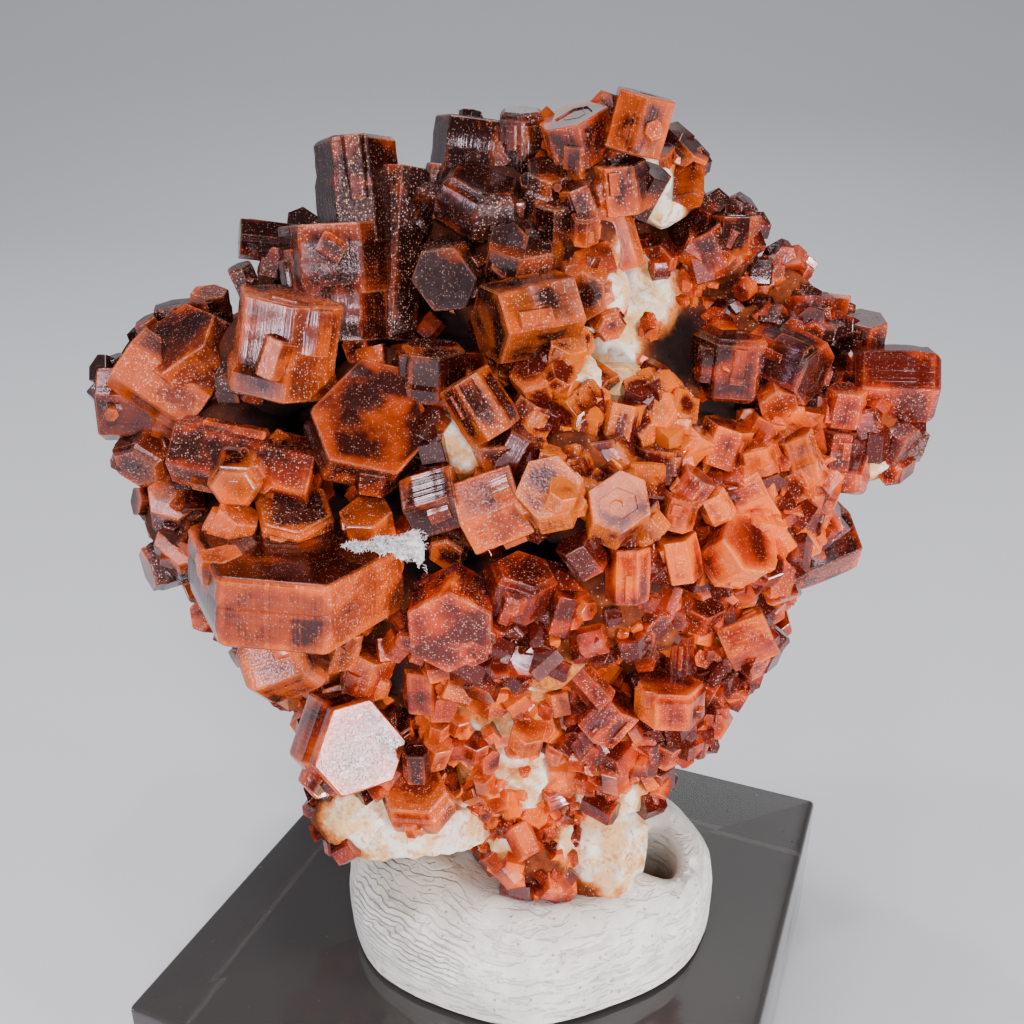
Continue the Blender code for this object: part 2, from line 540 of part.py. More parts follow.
# tuft of white fibre
centre, scale = sight(*TUFT_PLACE)
bm = bmesh.new()
bmesh.ops.create_icosphere(bm, subdivisions=2, radius=1.0)
for v in bm.verts:
    x, y, z = v.co
    droop = -0.55 * x * x + 0.35 * x
    v.co = Vector(centre + TUFT_SIZE[0] * x * RIGHT + (TUFT_SIZE[2] * (z * (0.55 + 0.45 * x) + droop))
                  * OVER + TUFT_SIZE[1] * y * AHEAD)
tuft = object_from("fluff_tuft", bm)
combine(tuft, "DIFFERENCE", grown("crystals_thick_plate") + grown("crystals_middle_left"))
keep_largest(tuft)
done["fluff_tuft"] = tuft

# colours, names and units
FINISH = {
    "matrix_rock": ((0.78, 0.68, 0.56), 0.85),
    "mineral_tack": ((0.72, 0.70, 0.65), 0.7),
    "acrylic_block": ((0.05, 0.05, 0.055), 0.08),
    "fluff_tuft": ((0.9, 0.88, 0.86), 0.95),
}
DARK = (0.16, 0.035, 0.012)
WARM = (0.42, 0.10, 0.025)
BRIGHT = (0.62, 0.17, 0.03)
SHADES = {"crystals_tower": DARK, "crystals_top_centre": DARK, "crystals_back": DARK,
          "crystals_left_wing": WARM, "crystals_left_plates": WARM, "crystals_upper_right": WARM,
          "crystals_lower_left": WARM, "crystals_middle_left": WARM, "crystals_top_right": WARM}
home = bpy.data.collections.new("vanadinite_on_matrix")
bpy.context.scene.collection.children.link(home)
total = 0
for name, piece in done.items():
    colour, rough = FINISH.get(name, (SHADES.get(name, BRIGHT), 0.25))
    material = bpy.data.materials.new(name)
    material.use_nodes = True
    shader = material.node_tree.nodes["Principled BSDF"]
    shader.inputs["Base Color"].default_value = (*colour, 1.0)
    shader.inputs["Roughness"].default_value = rough
    shader.inputs["Metallic"].default_value = 0.0
    piece.data.materials.clear()
    piece.data.materials.append(material)
    piece.name = piece.data.name = name
    for v in piece.data.vertices:
        v.co *= MM
    piece.data.update()
    for holder in list(piece.users_collection):
        holder.objects.unlink(piece)
    home.objects.link(piece)
    own = sum(len(p.vertices) - 2 for p in piece.data.polygons)
    total += own
    print(name, own)
print("pieces", len(done), "triangles", total)
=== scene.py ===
import math

import bpy
import numpy as np
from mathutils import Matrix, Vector


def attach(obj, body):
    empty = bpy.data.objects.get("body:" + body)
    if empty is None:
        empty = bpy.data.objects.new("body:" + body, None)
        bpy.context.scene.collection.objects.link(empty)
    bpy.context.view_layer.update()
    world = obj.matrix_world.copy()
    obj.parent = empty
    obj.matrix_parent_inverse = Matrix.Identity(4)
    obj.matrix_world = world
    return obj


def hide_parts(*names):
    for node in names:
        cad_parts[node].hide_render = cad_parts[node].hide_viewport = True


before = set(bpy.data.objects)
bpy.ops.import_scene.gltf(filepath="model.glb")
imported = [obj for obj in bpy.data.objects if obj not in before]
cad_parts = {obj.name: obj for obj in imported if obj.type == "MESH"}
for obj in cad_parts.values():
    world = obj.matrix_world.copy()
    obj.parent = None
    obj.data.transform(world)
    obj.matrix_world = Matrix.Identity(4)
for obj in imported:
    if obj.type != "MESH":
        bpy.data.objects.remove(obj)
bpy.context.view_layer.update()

# Vanadinite on matrix: a pale rock coated with stubby six-sided crystals, pressed into a lump of
# white tack on a small block of smoky acrylic. Lengths are in millimetres until a mesh is made.
MM = 0.001


# The display block is cast acrylic, tinted smoky grey through and through. It is sawn square,
# its edges are eased and every side is polished, so that what is behind shows darkly through.
class Wire:
    """A socket in a material, so that shader sums are written as ordinary expressions."""

    def __init__(self, finish, socket):
        self.finish, self.socket = finish, socket

    def sum_of(self, operation, *values):
        return self.finish.node("Math", {"operation": operation}, dict(enumerate(values)))

    def __add__(self, other):
        return self.sum_of("ADD", self, other)

    def __radd__(self, other):
        return self.sum_of("ADD", other, self)

    def __sub__(self, other):
        return self.sum_of("SUBTRACT", self, other)

    def __rsub__(self, other):
        return self.sum_of("SUBTRACT", other, self)

    def __mul__(self, other):
        return self.sum_of("MULTIPLY", self, other)

    def __rmul__(self, other):
        return self.sum_of("MULTIPLY", other, self)

    def least(self, other):
        return self.sum_of("MINIMUM", self, other)

    def ramp(self, low, high):
        """0 below `low`, 1 above `high`, and a smooth rise between; falls where low > high."""
        return self.finish.node("MapRange", {"interpolation_type": "SMOOTHSTEP"},
                                {0: self, 1: low, 2: high, 3: 0.0, 4: 1.0})


class Finish:
    """A material on the Principled shader, built one node at a time."""

    def __init__(self, name, **constants):
        self.name, self.material = name, bpy.data.materials.new(name)
        self.material.use_nodes = True
        self.tree = self.material.node_tree
        self.shader = self.tree.nodes["Principled BSDF"]
        self.out = self.tree.nodes["Material Output"]
        for key, value in constants.items():
            self.feed(self.shader, key.replace("_", " "), value)

    def feed(self, node, socket, value):
        if isinstance(value, Wire):
            self.tree.links.new(value.socket, node.inputs[socket])
        else:
            node.inputs[socket].default_value = value

    def node(self, kind, settings, values, output=0):
        made = self.tree.nodes.new("ShaderNode" + kind)
        for key, value in settings.items():
            setattr(made, key, value)
        for socket, value in values.items():
            self.feed(made, socket, value)
        return Wire(self, made.outputs[output])

    def mix(self, share, first, second):
        return self.node("Mix", {"data_type": "RGBA"}, {0: share, 6: first, 7: second}, 2)

    def split(self, name):
        """The three numbers that the mesh attribute `name` holds."""
        kept = self.node("Attribute", {"attribute_name": name}, {}, "Vector")
        return [self.node("SeparateXYZ", {}, {0: kept}, k) for k in range(3)]

    def noise(self, where, scale, detail=2.0, rough=0.5, warp=0.0):
        return self.node("TexNoise", {}, {"Vector": where, "Scale": scale, "Detail": detail,
                                          "Roughness": rough, "Distortion": warp})

    def relief(self, height, depth, strength=1.0):
        """Fine relief `depth` metres deep, given to the shader's normal."""
        bump = self.node("Bump", {}, {"Height": height, "Distance": depth, "Strength": strength})
        self.feed(self.shader, "Normal", bump)


acrylic = Finish("smoky_acrylic", Base_Color=(0.48, 0.45, 0.43, 1.0), Transmission_Weight=0.9, IOR=1.49)
place = acrylic.node("TexCoord", {}, {}, "Object")
haze = acrylic.noise(place, 260.0, 3.0)
dust = acrylic.node("TexVoronoi", {}, {"Vector": place, "Scale": 900.0}, "Distance")
acrylic.feed(acrylic.shader, "Roughness", 0.03 + 0.10 * haze.ramp(0.45, 0.75) + 0.3 * dust.ramp(0.09, 0.05))
scratches = acrylic.noise(place, 1600.0, 4.0, 0.7, 3.0)
acrylic.relief(scratches, 0.000004, 0.25)
smoke = acrylic.node("VolumeAbsorption", {}, {"Color": (0.45, 0.42, 0.40, 1.0), "Density": 110.0})
acrylic.tree.links.new(smoke.socket, acrylic.out.inputs["Volume"])


def lattice_noise(points, size, seed):
    """Smooth noise from 0 to 1: each corner of a lattice of cells `size` wide has a value made by
    hashing its whole-number address, and a point blends the eight corners round it."""
    cell = points / size
    base = np.floor(cell).astype(np.int64)
    part = cell - base
    part = part * part * (3.0 - 2.0 * part)
    total = np.zeros(points.shape[:-1])
    for corner in range(8):
        step = np.array([corner & 1, corner >> 1 & 1, corner >> 2 & 1])
        key = (base + step) * np.array([73856093, 19349663, 83492791])
        mixed = key[..., 0] ^ key[..., 1] ^ key[..., 2] ^ (seed * 2654435 + 97)
        mixed = (mixed ^ (mixed >> 13)) * 1274126177
        value = ((mixed ^ (mixed >> 16)) & 0xFFFFF) / float(0xFFFFF)
        weight = np.prod(np.where(step == 1, part, 1.0 - part), axis=-1)
        total += weight * value
    return total


VIEW_SQUARE, CREVICE_SHADE = 0.5, 0.75      # squares of the view, and how much a crevice darkens


class Heap:
    """Surfaces gathered for one mesh, with the numbers that their material reads at each point:
    `edges` (to the nearest upright edge, to the nearest rim, along the growth), `look` (tone, with
    painted light and shade in it; tint; end face or not) and `kind` (hue, chance, bareness; on rock
    and crust the first is painted shade)."""

    def __init__(self):
        self.points, self.faces, self.facts, self.count, self.coats = [], [], [], 0, []

    def add(self, points, faces, kind=(0, 0, 0), look=(0, 0, 0), edges=(3.0, 3.0, 0.0), coat=0):
        """Takes in a surface. Its numbers are those of one without crystal edges unless they are
        given, and `coat` tells which of the piece's finishes it has."""
        facts = [np.broadcast_to(fact, points.shape).reshape(-1, 3) for fact in (edges, look, kind)]
        self.facts.append(np.concatenate(facts, axis=1))
        self.points.append(points.reshape(-1, 3))
        self.faces += [(each + self.count).tolist() for each in faces]
        self.coats += [np.full(len(each), coat) for each in faces]
        self.count += len(self.points[-1])

    def shade_crevices(self):
        """Paints shade into the crevices: deepens the tone of crystal points far behind the nearest ones
        round them, and raises the painted shade of the rock and crust there. The nearest point of every
        small square of the view is averaged over the squares beside it."""
        points, facts = np.concatenate(self.points), np.concatenate(self.facts)
        across, up = in_view(points)
        column, row = (((side - side.min()) / VIEW_SQUARE).astype(int) + 3 for side in (across, up))
        reach = (points - EYE) @ AHEAD
        nearest = np.full((column.max() + 4, row.max() + 4), np.inf)
        np.minimum.at(nearest, (column, row), reach)
        known = np.isfinite(nearest)
        total, seen = np.zeros(nearest.shape), np.zeros(nearest.shape)
        for i in range(-2, 3):
            for j in range(-2, 3):
                total += np.roll(np.where(known, nearest, 0), (i, j), (0, 1))
                seen += np.roll(known, (i, j), (0, 1))
        gap = reach - total[column, row] / seen[column, row]
        behind = np.clip((gap - 0.5) / 2.2, 0, 1) * np.clip((7.0 - gap) / 3.0, 0.3, 1)
        crystal = facts[:, 7] > 0
        facts[:, 3] -= CREVICE_SHADE * behind * crystal
        facts[:, 6] = np.where(crystal, facts[:, 6], np.maximum(facts[:, 6], behind * (1 - facts[:, 8])))
        self.facts = [facts]

    def piece(self, name, finishes, crease):
        mesh = bpy.data.meshes.new(name)
        mesh.from_pydata(np.concatenate(self.points) * MM, [], [f for each in self.faces for f in each])
        facts = np.concatenate(self.facts)
        for k, fact in enumerate(("edges", "look", "kind")):
            layer = mesh.attributes.new(fact, "FLOAT_VECTOR", "POINT")
            layer.data.foreach_set("vector", facts[:, 3 * k:3 * k + 3].ravel())
        for finish in finishes:
            mesh.materials.append(finish.material)
        mesh.polygons.foreach_set("material_index", np.concatenate(self.coats))
        mesh.shade_smooth()
        mesh.set_sharp_from_angle(angle=math.radians(crease))
        made = bpy.data.objects.new(name, mesh)
        bpy.context.scene.collection.objects.link(made)
        return made


def closed_faces(rings, around):
    """Faces of a closed surface of `rings` rings of `around` points, then a lower and upper pole."""
    i, j = np.meshgrid(np.arange(rings - 1), np.arange(around), indexing="ij")
    after = (j + 1) % around
    quads = np.stack([i * around + j, i * around + after, (i + 1) * around + after,
                      (i + 1) * around + j], axis=-1).reshape(-1, 4)
    j = np.arange(around)
    after, last = (j + 1) % around, (rings - 1) * around
    lower = np.stack([np.full(around, rings * around), after, j], axis=-1)
    upper = np.stack([np.full(around, rings * around + 1), last + j, last + after], axis=-1)
    return [quads, lower, upper]


def rounded_block(heap, side, height, turn, edge):
    """A square block whose edges are quarter rounds: each ring is a square with rounded corners,
    and the rings follow a profile that rounds the lower and the upper rim."""
    bend = np.linspace(0.0, math.pi / 2, 5)
    inset = np.concatenate([edge * (1 - np.sin(bend)), edge * (1 - np.cos(bend))])
    level = np.concatenate([edge * (1 - np.cos(bend)), height - edge * (1 - np.sin(bend))])
    corner = np.repeat(np.arange(4) * math.pi / 2, 6)
    swing = corner + np.tile(np.linspace(0.0, math.pi / 2, 6), 4)
    reach = side / 2 - edge
    fixed = np.stack([np.cos(corner + math.pi / 4), np.sin(corner + math.pi / 4)], -1) * reach * math.sqrt(2)
    ring = fixed[None] + (edge - inset)[:, None, None] * np.stack([np.cos(swing), np.sin(swing)], -1)
    turned = math.radians(turn)
    x = ring[..., 0] * math.cos(turned) - ring[..., 1] * math.sin(turned)
    y = ring[..., 0] * math.sin(turned) + ring[..., 1] * math.cos(turned)
    points = np.stack([x, y, np.broadcast_to(level[:, None], x.shape)], -1).reshape(-1, 3)
    points = np.concatenate([points, [(0, 0, 0), (0, 0, height)]])
    heap.add(points, closed_faces(len(level), len(corner)))


def dress(piece, node):
    """Fixes a finished piece to the one body, in place of the solid that it dresses."""
    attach(piece, "root")
    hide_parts(node)


BLOCK_SIDE, BLOCK_HEIGHT, BLOCK_TURN, BLOCK_EDGE = 33.0, 10.0, -22.5, 0.35
heap = Heap()
rounded_block(heap, BLOCK_SIDE, BLOCK_HEIGHT, BLOCK_TURN, BLOCK_EDGE)
dress(heap.piece("display_block", [acrylic], 40), "acrylic_block")


# The tack is soft white putty, rolled in the fingers and pressed down round the rock's foot. It
# keeps the finger-print ridges of the left side, a smooth pinched rim at the right, and cracks.
TACK_CENTRE, TACK_HALF_WIDTH, TACK_HALF_DEPTH, TACK_HEIGHT = (1.0, -0.4), 11.4, 9.8, 6.4
HOLLOW = (8.6, -1.9, 1.1, 1.7, 4.0)         # the thumb hollow beside the foot: place, size, depth
TACK_CRACKS = ((3.5, -9.0, 2.4, 0.5, 0.35), (9.0, -6.2, 1.8, 2.2, 0.3), (-2.5, -9.4, 1.6, -0.4, 0.25),
               (10.4, -3.0, 1.5, 1.2, 0.3), (-7.0, -6.6, 1.7, -0.9, 0.2))


def unit(vectors):
    """Each vector scaled to a length of one."""
    return vectors / np.linalg.norm(vectors, axis=-1, keepdims=True)


def tack_surface(around, climb):
    """The lump at (around, climb): `climb` runs from the middle of the underside, out to the rim
    and over to the middle of the top. A flattened ball with a steep side, made uneven by sines
    and noise, then pinched, cracked and hollowed."""
    lift = np.sin((climb - 0.5) * math.pi)
    spread = np.cos((climb - 0.5) * math.pi)
    wavy = 1.0 + 0.02 * np.sin(3 * around + 0.7) + 0.012 * np.sin(7 * around)
    x = TACK_CENTRE[0] + TACK_HALF_WIDTH * wavy * spread * np.cos(around)
    y = TACK_CENTRE[1] + TACK_HALF_DEPTH * wavy * spread * np.sin(around)
    rise = np.where(lift > 0, np.maximum(lift, 0) ** 0.6, 0.0)
    under = np.where(lift < 0, np.abs(lift) ** 3, 0.0)
    z = BLOCK_HEIGHT + 0.35 - 0.33 * under + (TACK_HEIGHT - 0.1) * rise
    at = np.stack([x, y, z], -1)
    outward = unit(np.stack([np.cos(around) * spread, np.sin(around) * spread,
                             np.maximum(lift, 0) + 0.1], -1))
    soft = 0.55 * (lattice_noise(at, 4.5, 3) - 0.5) + 0.22 * (lattice_noise(at, 1.7, 4) - 0.5)
    grainy = 0.05 * (lattice_noise(at, 0.45, 5) - 0.5)
    creased = 0.06 * np.abs(lattice_noise(at * (0.35, 0.35, 1.6), 0.5, 10) - 0.5)
    move = soft + grainy - creased
    for cx, cy, length, slope, depth in TACK_CRACKS:
        along = ((x - cx) + slope * (y - cy)) / math.hypot(1, slope)
        aside = ((y - cy) - slope * (x - cx)) / math.hypot(1, slope) + 0.9 * (lattice_noise(at, 0.8, 8) - 0.5)
        move -= depth * np.exp(-(aside / 0.13) ** 2) * np.exp(-(along / length) ** 4) * (lift > 0.05)
    at = at + outward * (move * np.clip(lift * 6 + 0.6, 0, 1))[..., None]
    hx, hy, wide, long, deep = HOLLOW
    dent = np.exp(-(((x - hx) / wide) ** 2 + ((y - hy) / long) ** 2) ** 1.6)
    pinch = np.exp(-((np.hypot((x - hx) / (wide + 1.5), (y - hy) / (long + 1.6)) - 1.0) / 0.28) ** 2)
    seat = np.exp(-(((x - 1.9) / 6.5) ** 2 + ((y + 0.1) / 6.0) ** 2) ** 3)
    at[..., 2] -= 2.0 * seat * (lift > 0.2)
    at[..., 2] += np.where(lift > 0.2, 0.45 * pinch / (1 + np.exp((6.5 - x) * 1.6)) - deep * dent, 0.0)
    return at


def closed_grid(rings, around):
    """Parameters of the points of a closed surface, as closed_faces joins them: `turn` runs over a
    full turn, and `climb` from 0 to 1, which are the two poles at the end of the list."""
    turn, climb = np.meshgrid(np.arange(around) * 2 * math.pi / around,
                              (np.arange(rings) + 1) / (rings + 1), indexing="xy")
    return np.append(turn, (0.0, 0.0)), np.append(climb, (0.0, 1.0))


TACK_GRID = 110, 440
heap = Heap()
heap.add(tack_surface(*closed_grid(*TACK_GRID)), closed_faces(*TACK_GRID))
putty = Finish("mineral_tack", IOR=1.45, Specular_IOR_Level=0.35)
place = putty.node("TexCoord", {}, {}, "Object")
cloudy = putty.noise(place, 300.0, 4.0, 0.6)
grime = putty.noise(place, 2600.0, 3.0, 0.7).ramp(0.56, 0.78)
pits = putty.node("TexVoronoi", {}, {"Vector": place, "Scale": 1500.0}, "Distance").ramp(0.16, 0.05)
tone = putty.mix(cloudy.ramp(0.3, 0.7), (0.78, 0.75, 0.68, 1), (0.97, 0.95, 0.90, 1))
tone = putty.mix(grime * 0.4, tone, (0.34, 0.30, 0.25, 1))
# finger-print ridges: waves of the distance from a point low at the left, in millimetres
x, y, z = (putty.node("SeparateXYZ", {}, {0: place}, k) * 1000.0 for k in range(3))
steep = (z - 5.0) * 1.3 + (y + 6.0) * 0.4
whorl = putty.node("Math", {"operation": "SQRT"}, {0: (x + 9.0) * (x + 9.0) + steep * steep})
whorl = whorl + 1.8 * putty.noise(place, 260.0, 1.0) + 0.7 * putty.noise(place, 900.0, 2.0)
wave = putty.node("Math", {"operation": "SINE"}, {0: whorl * 7.2})
groove = 1.0 - putty.node("Math", {"operation": "ABSOLUTE"}, {0: wave})
printed = (0.0 - x).ramp(1.0, 4.5) * z.ramp(10.8, 13.2) * putty.noise(place, 420.0, 1.0).ramp(0.25, 0.6)
groove = groove.ramp(0.45, 1.0) * printed
stretched = putty.node("VectorMath", {"operation": "MULTIPLY"}, {0: place, 1: (0.5, 0.5, 2.2)})
wrinkle = putty.noise(stretched, 1300.0, 4.0, 0.6, 0.8).ramp(0.50, 0.36)
# painted shade: the finger-print grooves and the wrinkles are darkened
tone = putty.mix(groove * 0.45 + wrinkle * 0.15, tone, (0.34, 0.31, 0.26, 1))
# painted shade: the floor of the thumb hollow goes dark brown
sunk = ((x - HOLLOW[0]) * (x - HOLLOW[0]) + (y - HOLLOW[1]) * (y - HOLLOW[1]) * 0.4).ramp(2.2, 0.4)
tone = putty.mix(sunk * z.ramp(16.2, 14.6), tone, (0.10, 0.065, 0.035, 1))
putty.feed(putty.shader, "Base Color", putty.mix(pits * 0.5, tone, (0.30, 0.27, 0.23, 1)))
putty.feed(putty.shader, "Roughness", 0.45 + 0.25 * cloudy)
skin = 0.5 * putty.noise(place, 3600.0, 5.0, 0.7, 0.5)
putty.relief(skin - 0.8 * pits - 1.5 * groove - 0.7 * wrinkle, 0.00012, 0.9)
dress(heap.piece("putty_lump", [putty], 60), "mineral_tack")


# The matrix is a rough vein rock, chalky white barite stained cream and ochre, wide above and
# narrowed to the foot that stands in the tack. Most of it is hidden under crust and crystals.
EYE = np.array((0.0, -53.0, 60.0))
EYE_DOWN, EYE_REACH = math.radians(24.0), 58.0
RIGHT = np.array((1.0, 0.0, 0.0))
AHEAD = np.array((0.0, math.cos(EYE_DOWN), -math.sin(EYE_DOWN)))
OVER = np.array((0.0, math.sin(EYE_DOWN), math.cos(EYE_DOWN)))
VIEW = np.stack([RIGHT, AHEAD, OVER])
ROCK_Z = (12.6, 14.0, 15.5, 17.5, 20.0, 24.0, 30.0, 37.0, 43.0, 48.0, 53.0)
ROCK_LEFT = (0.0, -1.5, -3.5, -7.0, -10.0, -12.0, -15.0, -17.5, -16.0, -11.0, -3.0)
ROCK_RIGHT = (5.5, 6.8, 7.2, 7.8, 8.5, 10.5, 14.0, 16.5, 15.5, 11.5, 6.5)
ROCK_FRONT = (-2.0, -3.5, -4.3, -5.0, -5.4, -5.6, -5.8, -5.2, -3.2, -1.0, 1.0)
ROCK_BACK = (2.5, 4.0, 5.0, 6.5, 8.0, 9.0, 10.0, 10.0, 9.5, 8.5, 6.0)
# bare patches in the view: across, up, half-width, half-height, how white
BARE = ((7.8, 17.8, 0.9, 2.2, 1.0), (7.8, 15.0, 1.9, 2.2, 1.0), (6.6, 11.6, 1.8, 2.0, 0.75),
        (5.4, 8.2, 1.8, 2.6, 0.85), (-2.8, 4.6, 1.4, 2.2, 0.7), (-5.4, -17.0, 4.2, 2.2, 1.0),
        (0.8, -11.6, 4.2, 3.4, 0.42), (2.6, -15.0, 3.0, 1.6, 0.62), (5.6, -17.6, 3.0, 2.6, 1.0),
        (-1.6, -17.6, 2.6, 1.0, 0.85), (19.6, 2.6, 1.0, 0.8, 0.9))

# two lumps of the white foot: across, up, behind the middle; half-width, half-height, half-depth
FOOT_LUMPS = ((4.9, -17.3, -3.0, 3.1, 3.0, 2.2), (-4.9, -16.7, -4.6, 4.2, 1.7, 2.0))

# gaps between the crystals, painted dark as shade: across, up, half-width, half-height
GAPS = ((1.6, -2.1, 2.2, 1.1), (-3.6, -3.0, 2.6, 1.3), (-3.4, 9.0, 1.6, 2.6), (-8.0, 0.6, 3.0, 1.6),
        (-12.5, 5.0, 2.6, 1.6), (-7.2, -8.8, 1.8, 1.6), (-3.9, 11.0, 1.2, 3.0), (8.4, -3.4, 1.2, 1.0),
        (8.9, 8.8, 1.5, 2.3), (11.4, 5.6, 2.2, 0.8))


def in_view(points):
    """How far across and up the view each point is seen, at EYE_REACH."""
    ray = points - EYE
    reach = ray @ AHEAD
    return EYE_REACH * (ray @ RIGHT) / reach, EYE_REACH * (ray @ OVER) / reach


def sight(across, up, back):
    """Where the line of sight through (across, up) meets the upright plane `back` behind the
    middle, with the size that one millimetre of the view has there."""
    across, up, back = (np.atleast_1d(each) for each in (across, up, back))
    line = AHEAD + (across / EYE_REACH)[:, None] * RIGHT + (up / EYE_REACH)[:, None] * OVER
    reach = (back - EYE[1]) / line[:, 1]
    return EYE + reach[:, None] * line, reach / EYE_REACH


def rock_surface(around, height):
    """The rock's smooth form: at each height an oval between its left, right, front and back
    limits, closed at both ends, with rolling lumps added by a sum of sines."""
    z = ROCK_Z[0] + (ROCK_Z[-1] - ROCK_Z[0]) * height
    left, right, front, back = (np.interp(z, ROCK_Z, side) for side in
                                (ROCK_LEFT, ROCK_RIGHT, ROCK_FRONT, ROCK_BACK))
    closing = np.maximum(1.0 - (2.0 * height - 1.0) ** 2, 0.0) ** 0.28
    lumps = 1.0 + 0.035 * np.sin(5 * around + 9 * height) + 0.03 * np.sin(9 * around - 14 * height)
    x = (left + right) / 2 + (right - left) / 2 * closing * lumps * np.cos(around)
    y = (front + back) / 2 + (back - front) / 2 * closing * lumps * np.sin(around)
    return np.stack([x, y, z + 0.35 * np.sin(3 * around + 1.0) * np.sin(math.pi * height)], -1)


def outward_of(around, height):
    """The direction straight out of the rock: the cross product of two small steps over it."""
    low, high = np.clip(height - 0.004, 0.001, 0.995), np.clip(height + 0.004, 0.005, 0.999)
    along = rock_surface(around + 0.01, height) - rock_surface(around - 0.01, height)
    upward = rock_surface(around, high) - rock_surface(around, low)
    out = np.cross(along, upward)
    return out / np.maximum(np.linalg.norm(out, axis=-1, keepdims=True), 1e-9)


def bareness(points):
    """1 on bare white rock and 0 on crust: ovals round the bare patches, frayed by noise."""
    across, up = in_view(points)
    bare = np.zeros(points.shape[:-1])
    for a, u, wide, tall, white in BARE:
        away = np.hypot((across - a) / wide, (up - u) / tall) + 0.9 * (lattice_noise(points, 1.1, 21) - 0.5)
        bare = np.maximum(bare, white * np.clip(1.6 - away * 1.2, 0, 1))
    return bare * np.clip((3.5 - points[..., 1]) / 2.0, 0, 1)


def painted_shade(points):
    """Painted shade: 1 in the dark gaps and over the upper left of the view, 0 to the right and at the foot.
    """
    across, up = in_view(points)
    dark = np.clip(0.35 - 0.035 * across + 0.02 * up, 0, 0.8)
    for a, u, wide, tall in GAPS:
        dark = np.maximum(dark, np.clip(2.0 - 1.4 * np.hypot((across - a) / wide, (up - u) / tall), 0, 1))
    return dark


def rock_relief(points):
    """Rough broken rock: four sizes of noise, the two middle ones folded into sharp creases."""
    return (0.9 * (lattice_noise(points, 4.0, 11) - 0.5)
            + 0.6 * (0.5 - np.abs(lattice_noise(points, 1.7, 12) - 0.5) * 2)
            + 0.35 * (0.5 - np.abs(lattice_noise(points, 0.8, 13) - 0.5) * 2)
            + 0.12 * (lattice_noise(points, 0.35, 14) - 0.5))


def unit_ball(rings, around):
    """A ball of radius one: `turn` is its longitude, and `climb` runs from pole to pole."""
    turn, climb = closed_grid(rings, around)
    lift = (climb - 0.5) * math.pi
    return np.stack([np.cos(lift) * np.cos(turn), np.cos(lift) * np.sin(turn), np.sin(lift)], -1)


ROCK_GRID, LUMP_GRID, LUMP_CUTS = (160, 280), (60, 90), 26
turn, climb = closed_grid(*ROCK_GRID)
skin = rock_surface(turn, climb)
rough = outward_of(turn, climb) * rock_relief(skin)[:, None]
rough[-2:] = 0.0                            # the two poles stay where they are
skin = skin + rough
bare = bareness(skin)
heap = Heap()
heap.add(skin, closed_faces(*ROCK_GRID), np.stack([painted_shade(skin), 0 * bare, bare], -1))
rng = np.random.default_rng(52)
for across, up, back, wide, tall, deep in FOOT_LUMPS:
    ball = unit_ball(*LUMP_GRID)            # cut flat by planes all round, then roughened
    facing = np.maximum(ball @ unit(rng.normal(size=(LUMP_CUTS, 3))).T, 1e-3)
    ball = ball * np.minimum(1.12, (rng.uniform(0.72, 0.98, LUMP_CUTS) / facing).min(1))[:, None]
    centre, scale = sight(across, up, back)
    skin = centre + (ball * (wide, deep, tall) * scale) @ VIEW
    skin = skin + (ball @ VIEW) * (0.75 * rock_relief(skin))[:, None]
    bare = bareness(skin)
    heap.add(skin, closed_faces(*LUMP_GRID), np.stack([0 * bare, 0 * bare, bare], -1))
chalk = Finish("matrix", IOR=1.5, Specular_IOR_Level=0.2)
place = chalk.node("TexCoord", {}, {}, "Object")
shadow, _, white = chalk.split("kind")
mottle = chalk.noise(place, 700.0, 5.0, 0.65)
veins = chalk.noise(place, 1500.0, 4.0, 0.7, 1.5)
grains = chalk.node("TexVoronoi", {}, {"Vector": place, "Scale": 2600.0}, "Color")
glint = chalk.node("TexVoronoi", {}, {"Vector": place, "Scale": 4200.0}, "Distance").ramp(0.2, 0.1)
ochre = chalk.mix(veins.ramp(0.35, 0.65), (0.42, 0.07, 0.006, 1), (0.74, 0.24, 0.04, 1))
cream = chalk.mix(mottle.ramp(0.42, 0.60), (0.92, 0.55, 0.24, 1), (0.98, 0.90, 0.77, 1))
crust = chalk.mix(mottle.ramp(0.35, 0.7), (0.09, 0.012, 0.003, 1), (0.34, 0.06, 0.008, 1))
crust = chalk.mix(shadow, crust, (0.012, 0.003, 0.002, 1))
rusty = (white + 0.9 * (mottle - 0.5)).ramp(0.25, 0.62)
tone = chalk.mix(rusty, chalk.mix(white.ramp(0.0, 0.25), crust, ochre), cream)
tone = chalk.mix(veins.ramp(0.52, 0.62) * white * 0.75, tone, (0.70, 0.20, 0.025, 1))
chalk.feed(chalk.shader, "Base Color", chalk.mix(glint * 0.5 * (1.0 - shadow), tone, (0.93, 0.80, 0.68, 1)))
chalk.feed(chalk.shader, "Roughness", 0.75 - 0.35 * glint)
chalk.relief(chalk.noise(place, 3000.0, 6.0, 0.75) + 0.4 * chalk.noise(place, 9000.0, 3.0), 0.00012, 0.8)
dress(heap.piece("matrix_skin", [chalk], 75), "matrix_rock")


# The tower at the top left: dark red-brown crystals stacked in parallel growth, stepped by bright
# ledges, with a barrel-shaped crystal lying to the left. They grow from the rock's upper edge.
def stance(rows):
    """Centre, long axis, direction of one upright edge, radius and half-height of each crystal.
    The axis leans from the line of sight by `tilt` towards the `clock` direction of the view."""
    across, up, back, tilt, clock, turn, radius, half = np.array([row[:8] for row in rows]).T
    centre, scale = sight(across, up, back)
    tilt, clock, turn = (np.radians(each)[:, None] for each in (tilt, clock, turn))
    lean = np.sin(clock) * RIGHT + np.cos(clock) * OVER
    axis = np.sin(tilt) * lean - np.cos(tilt) * AHEAD
    first = np.cos(tilt) * lean + np.sin(tilt) * AHEAD
    side = np.cos(turn) * first + np.sin(turn) * np.cross(axis, first)
    return centre, axis, side, radius * scale, half * scale


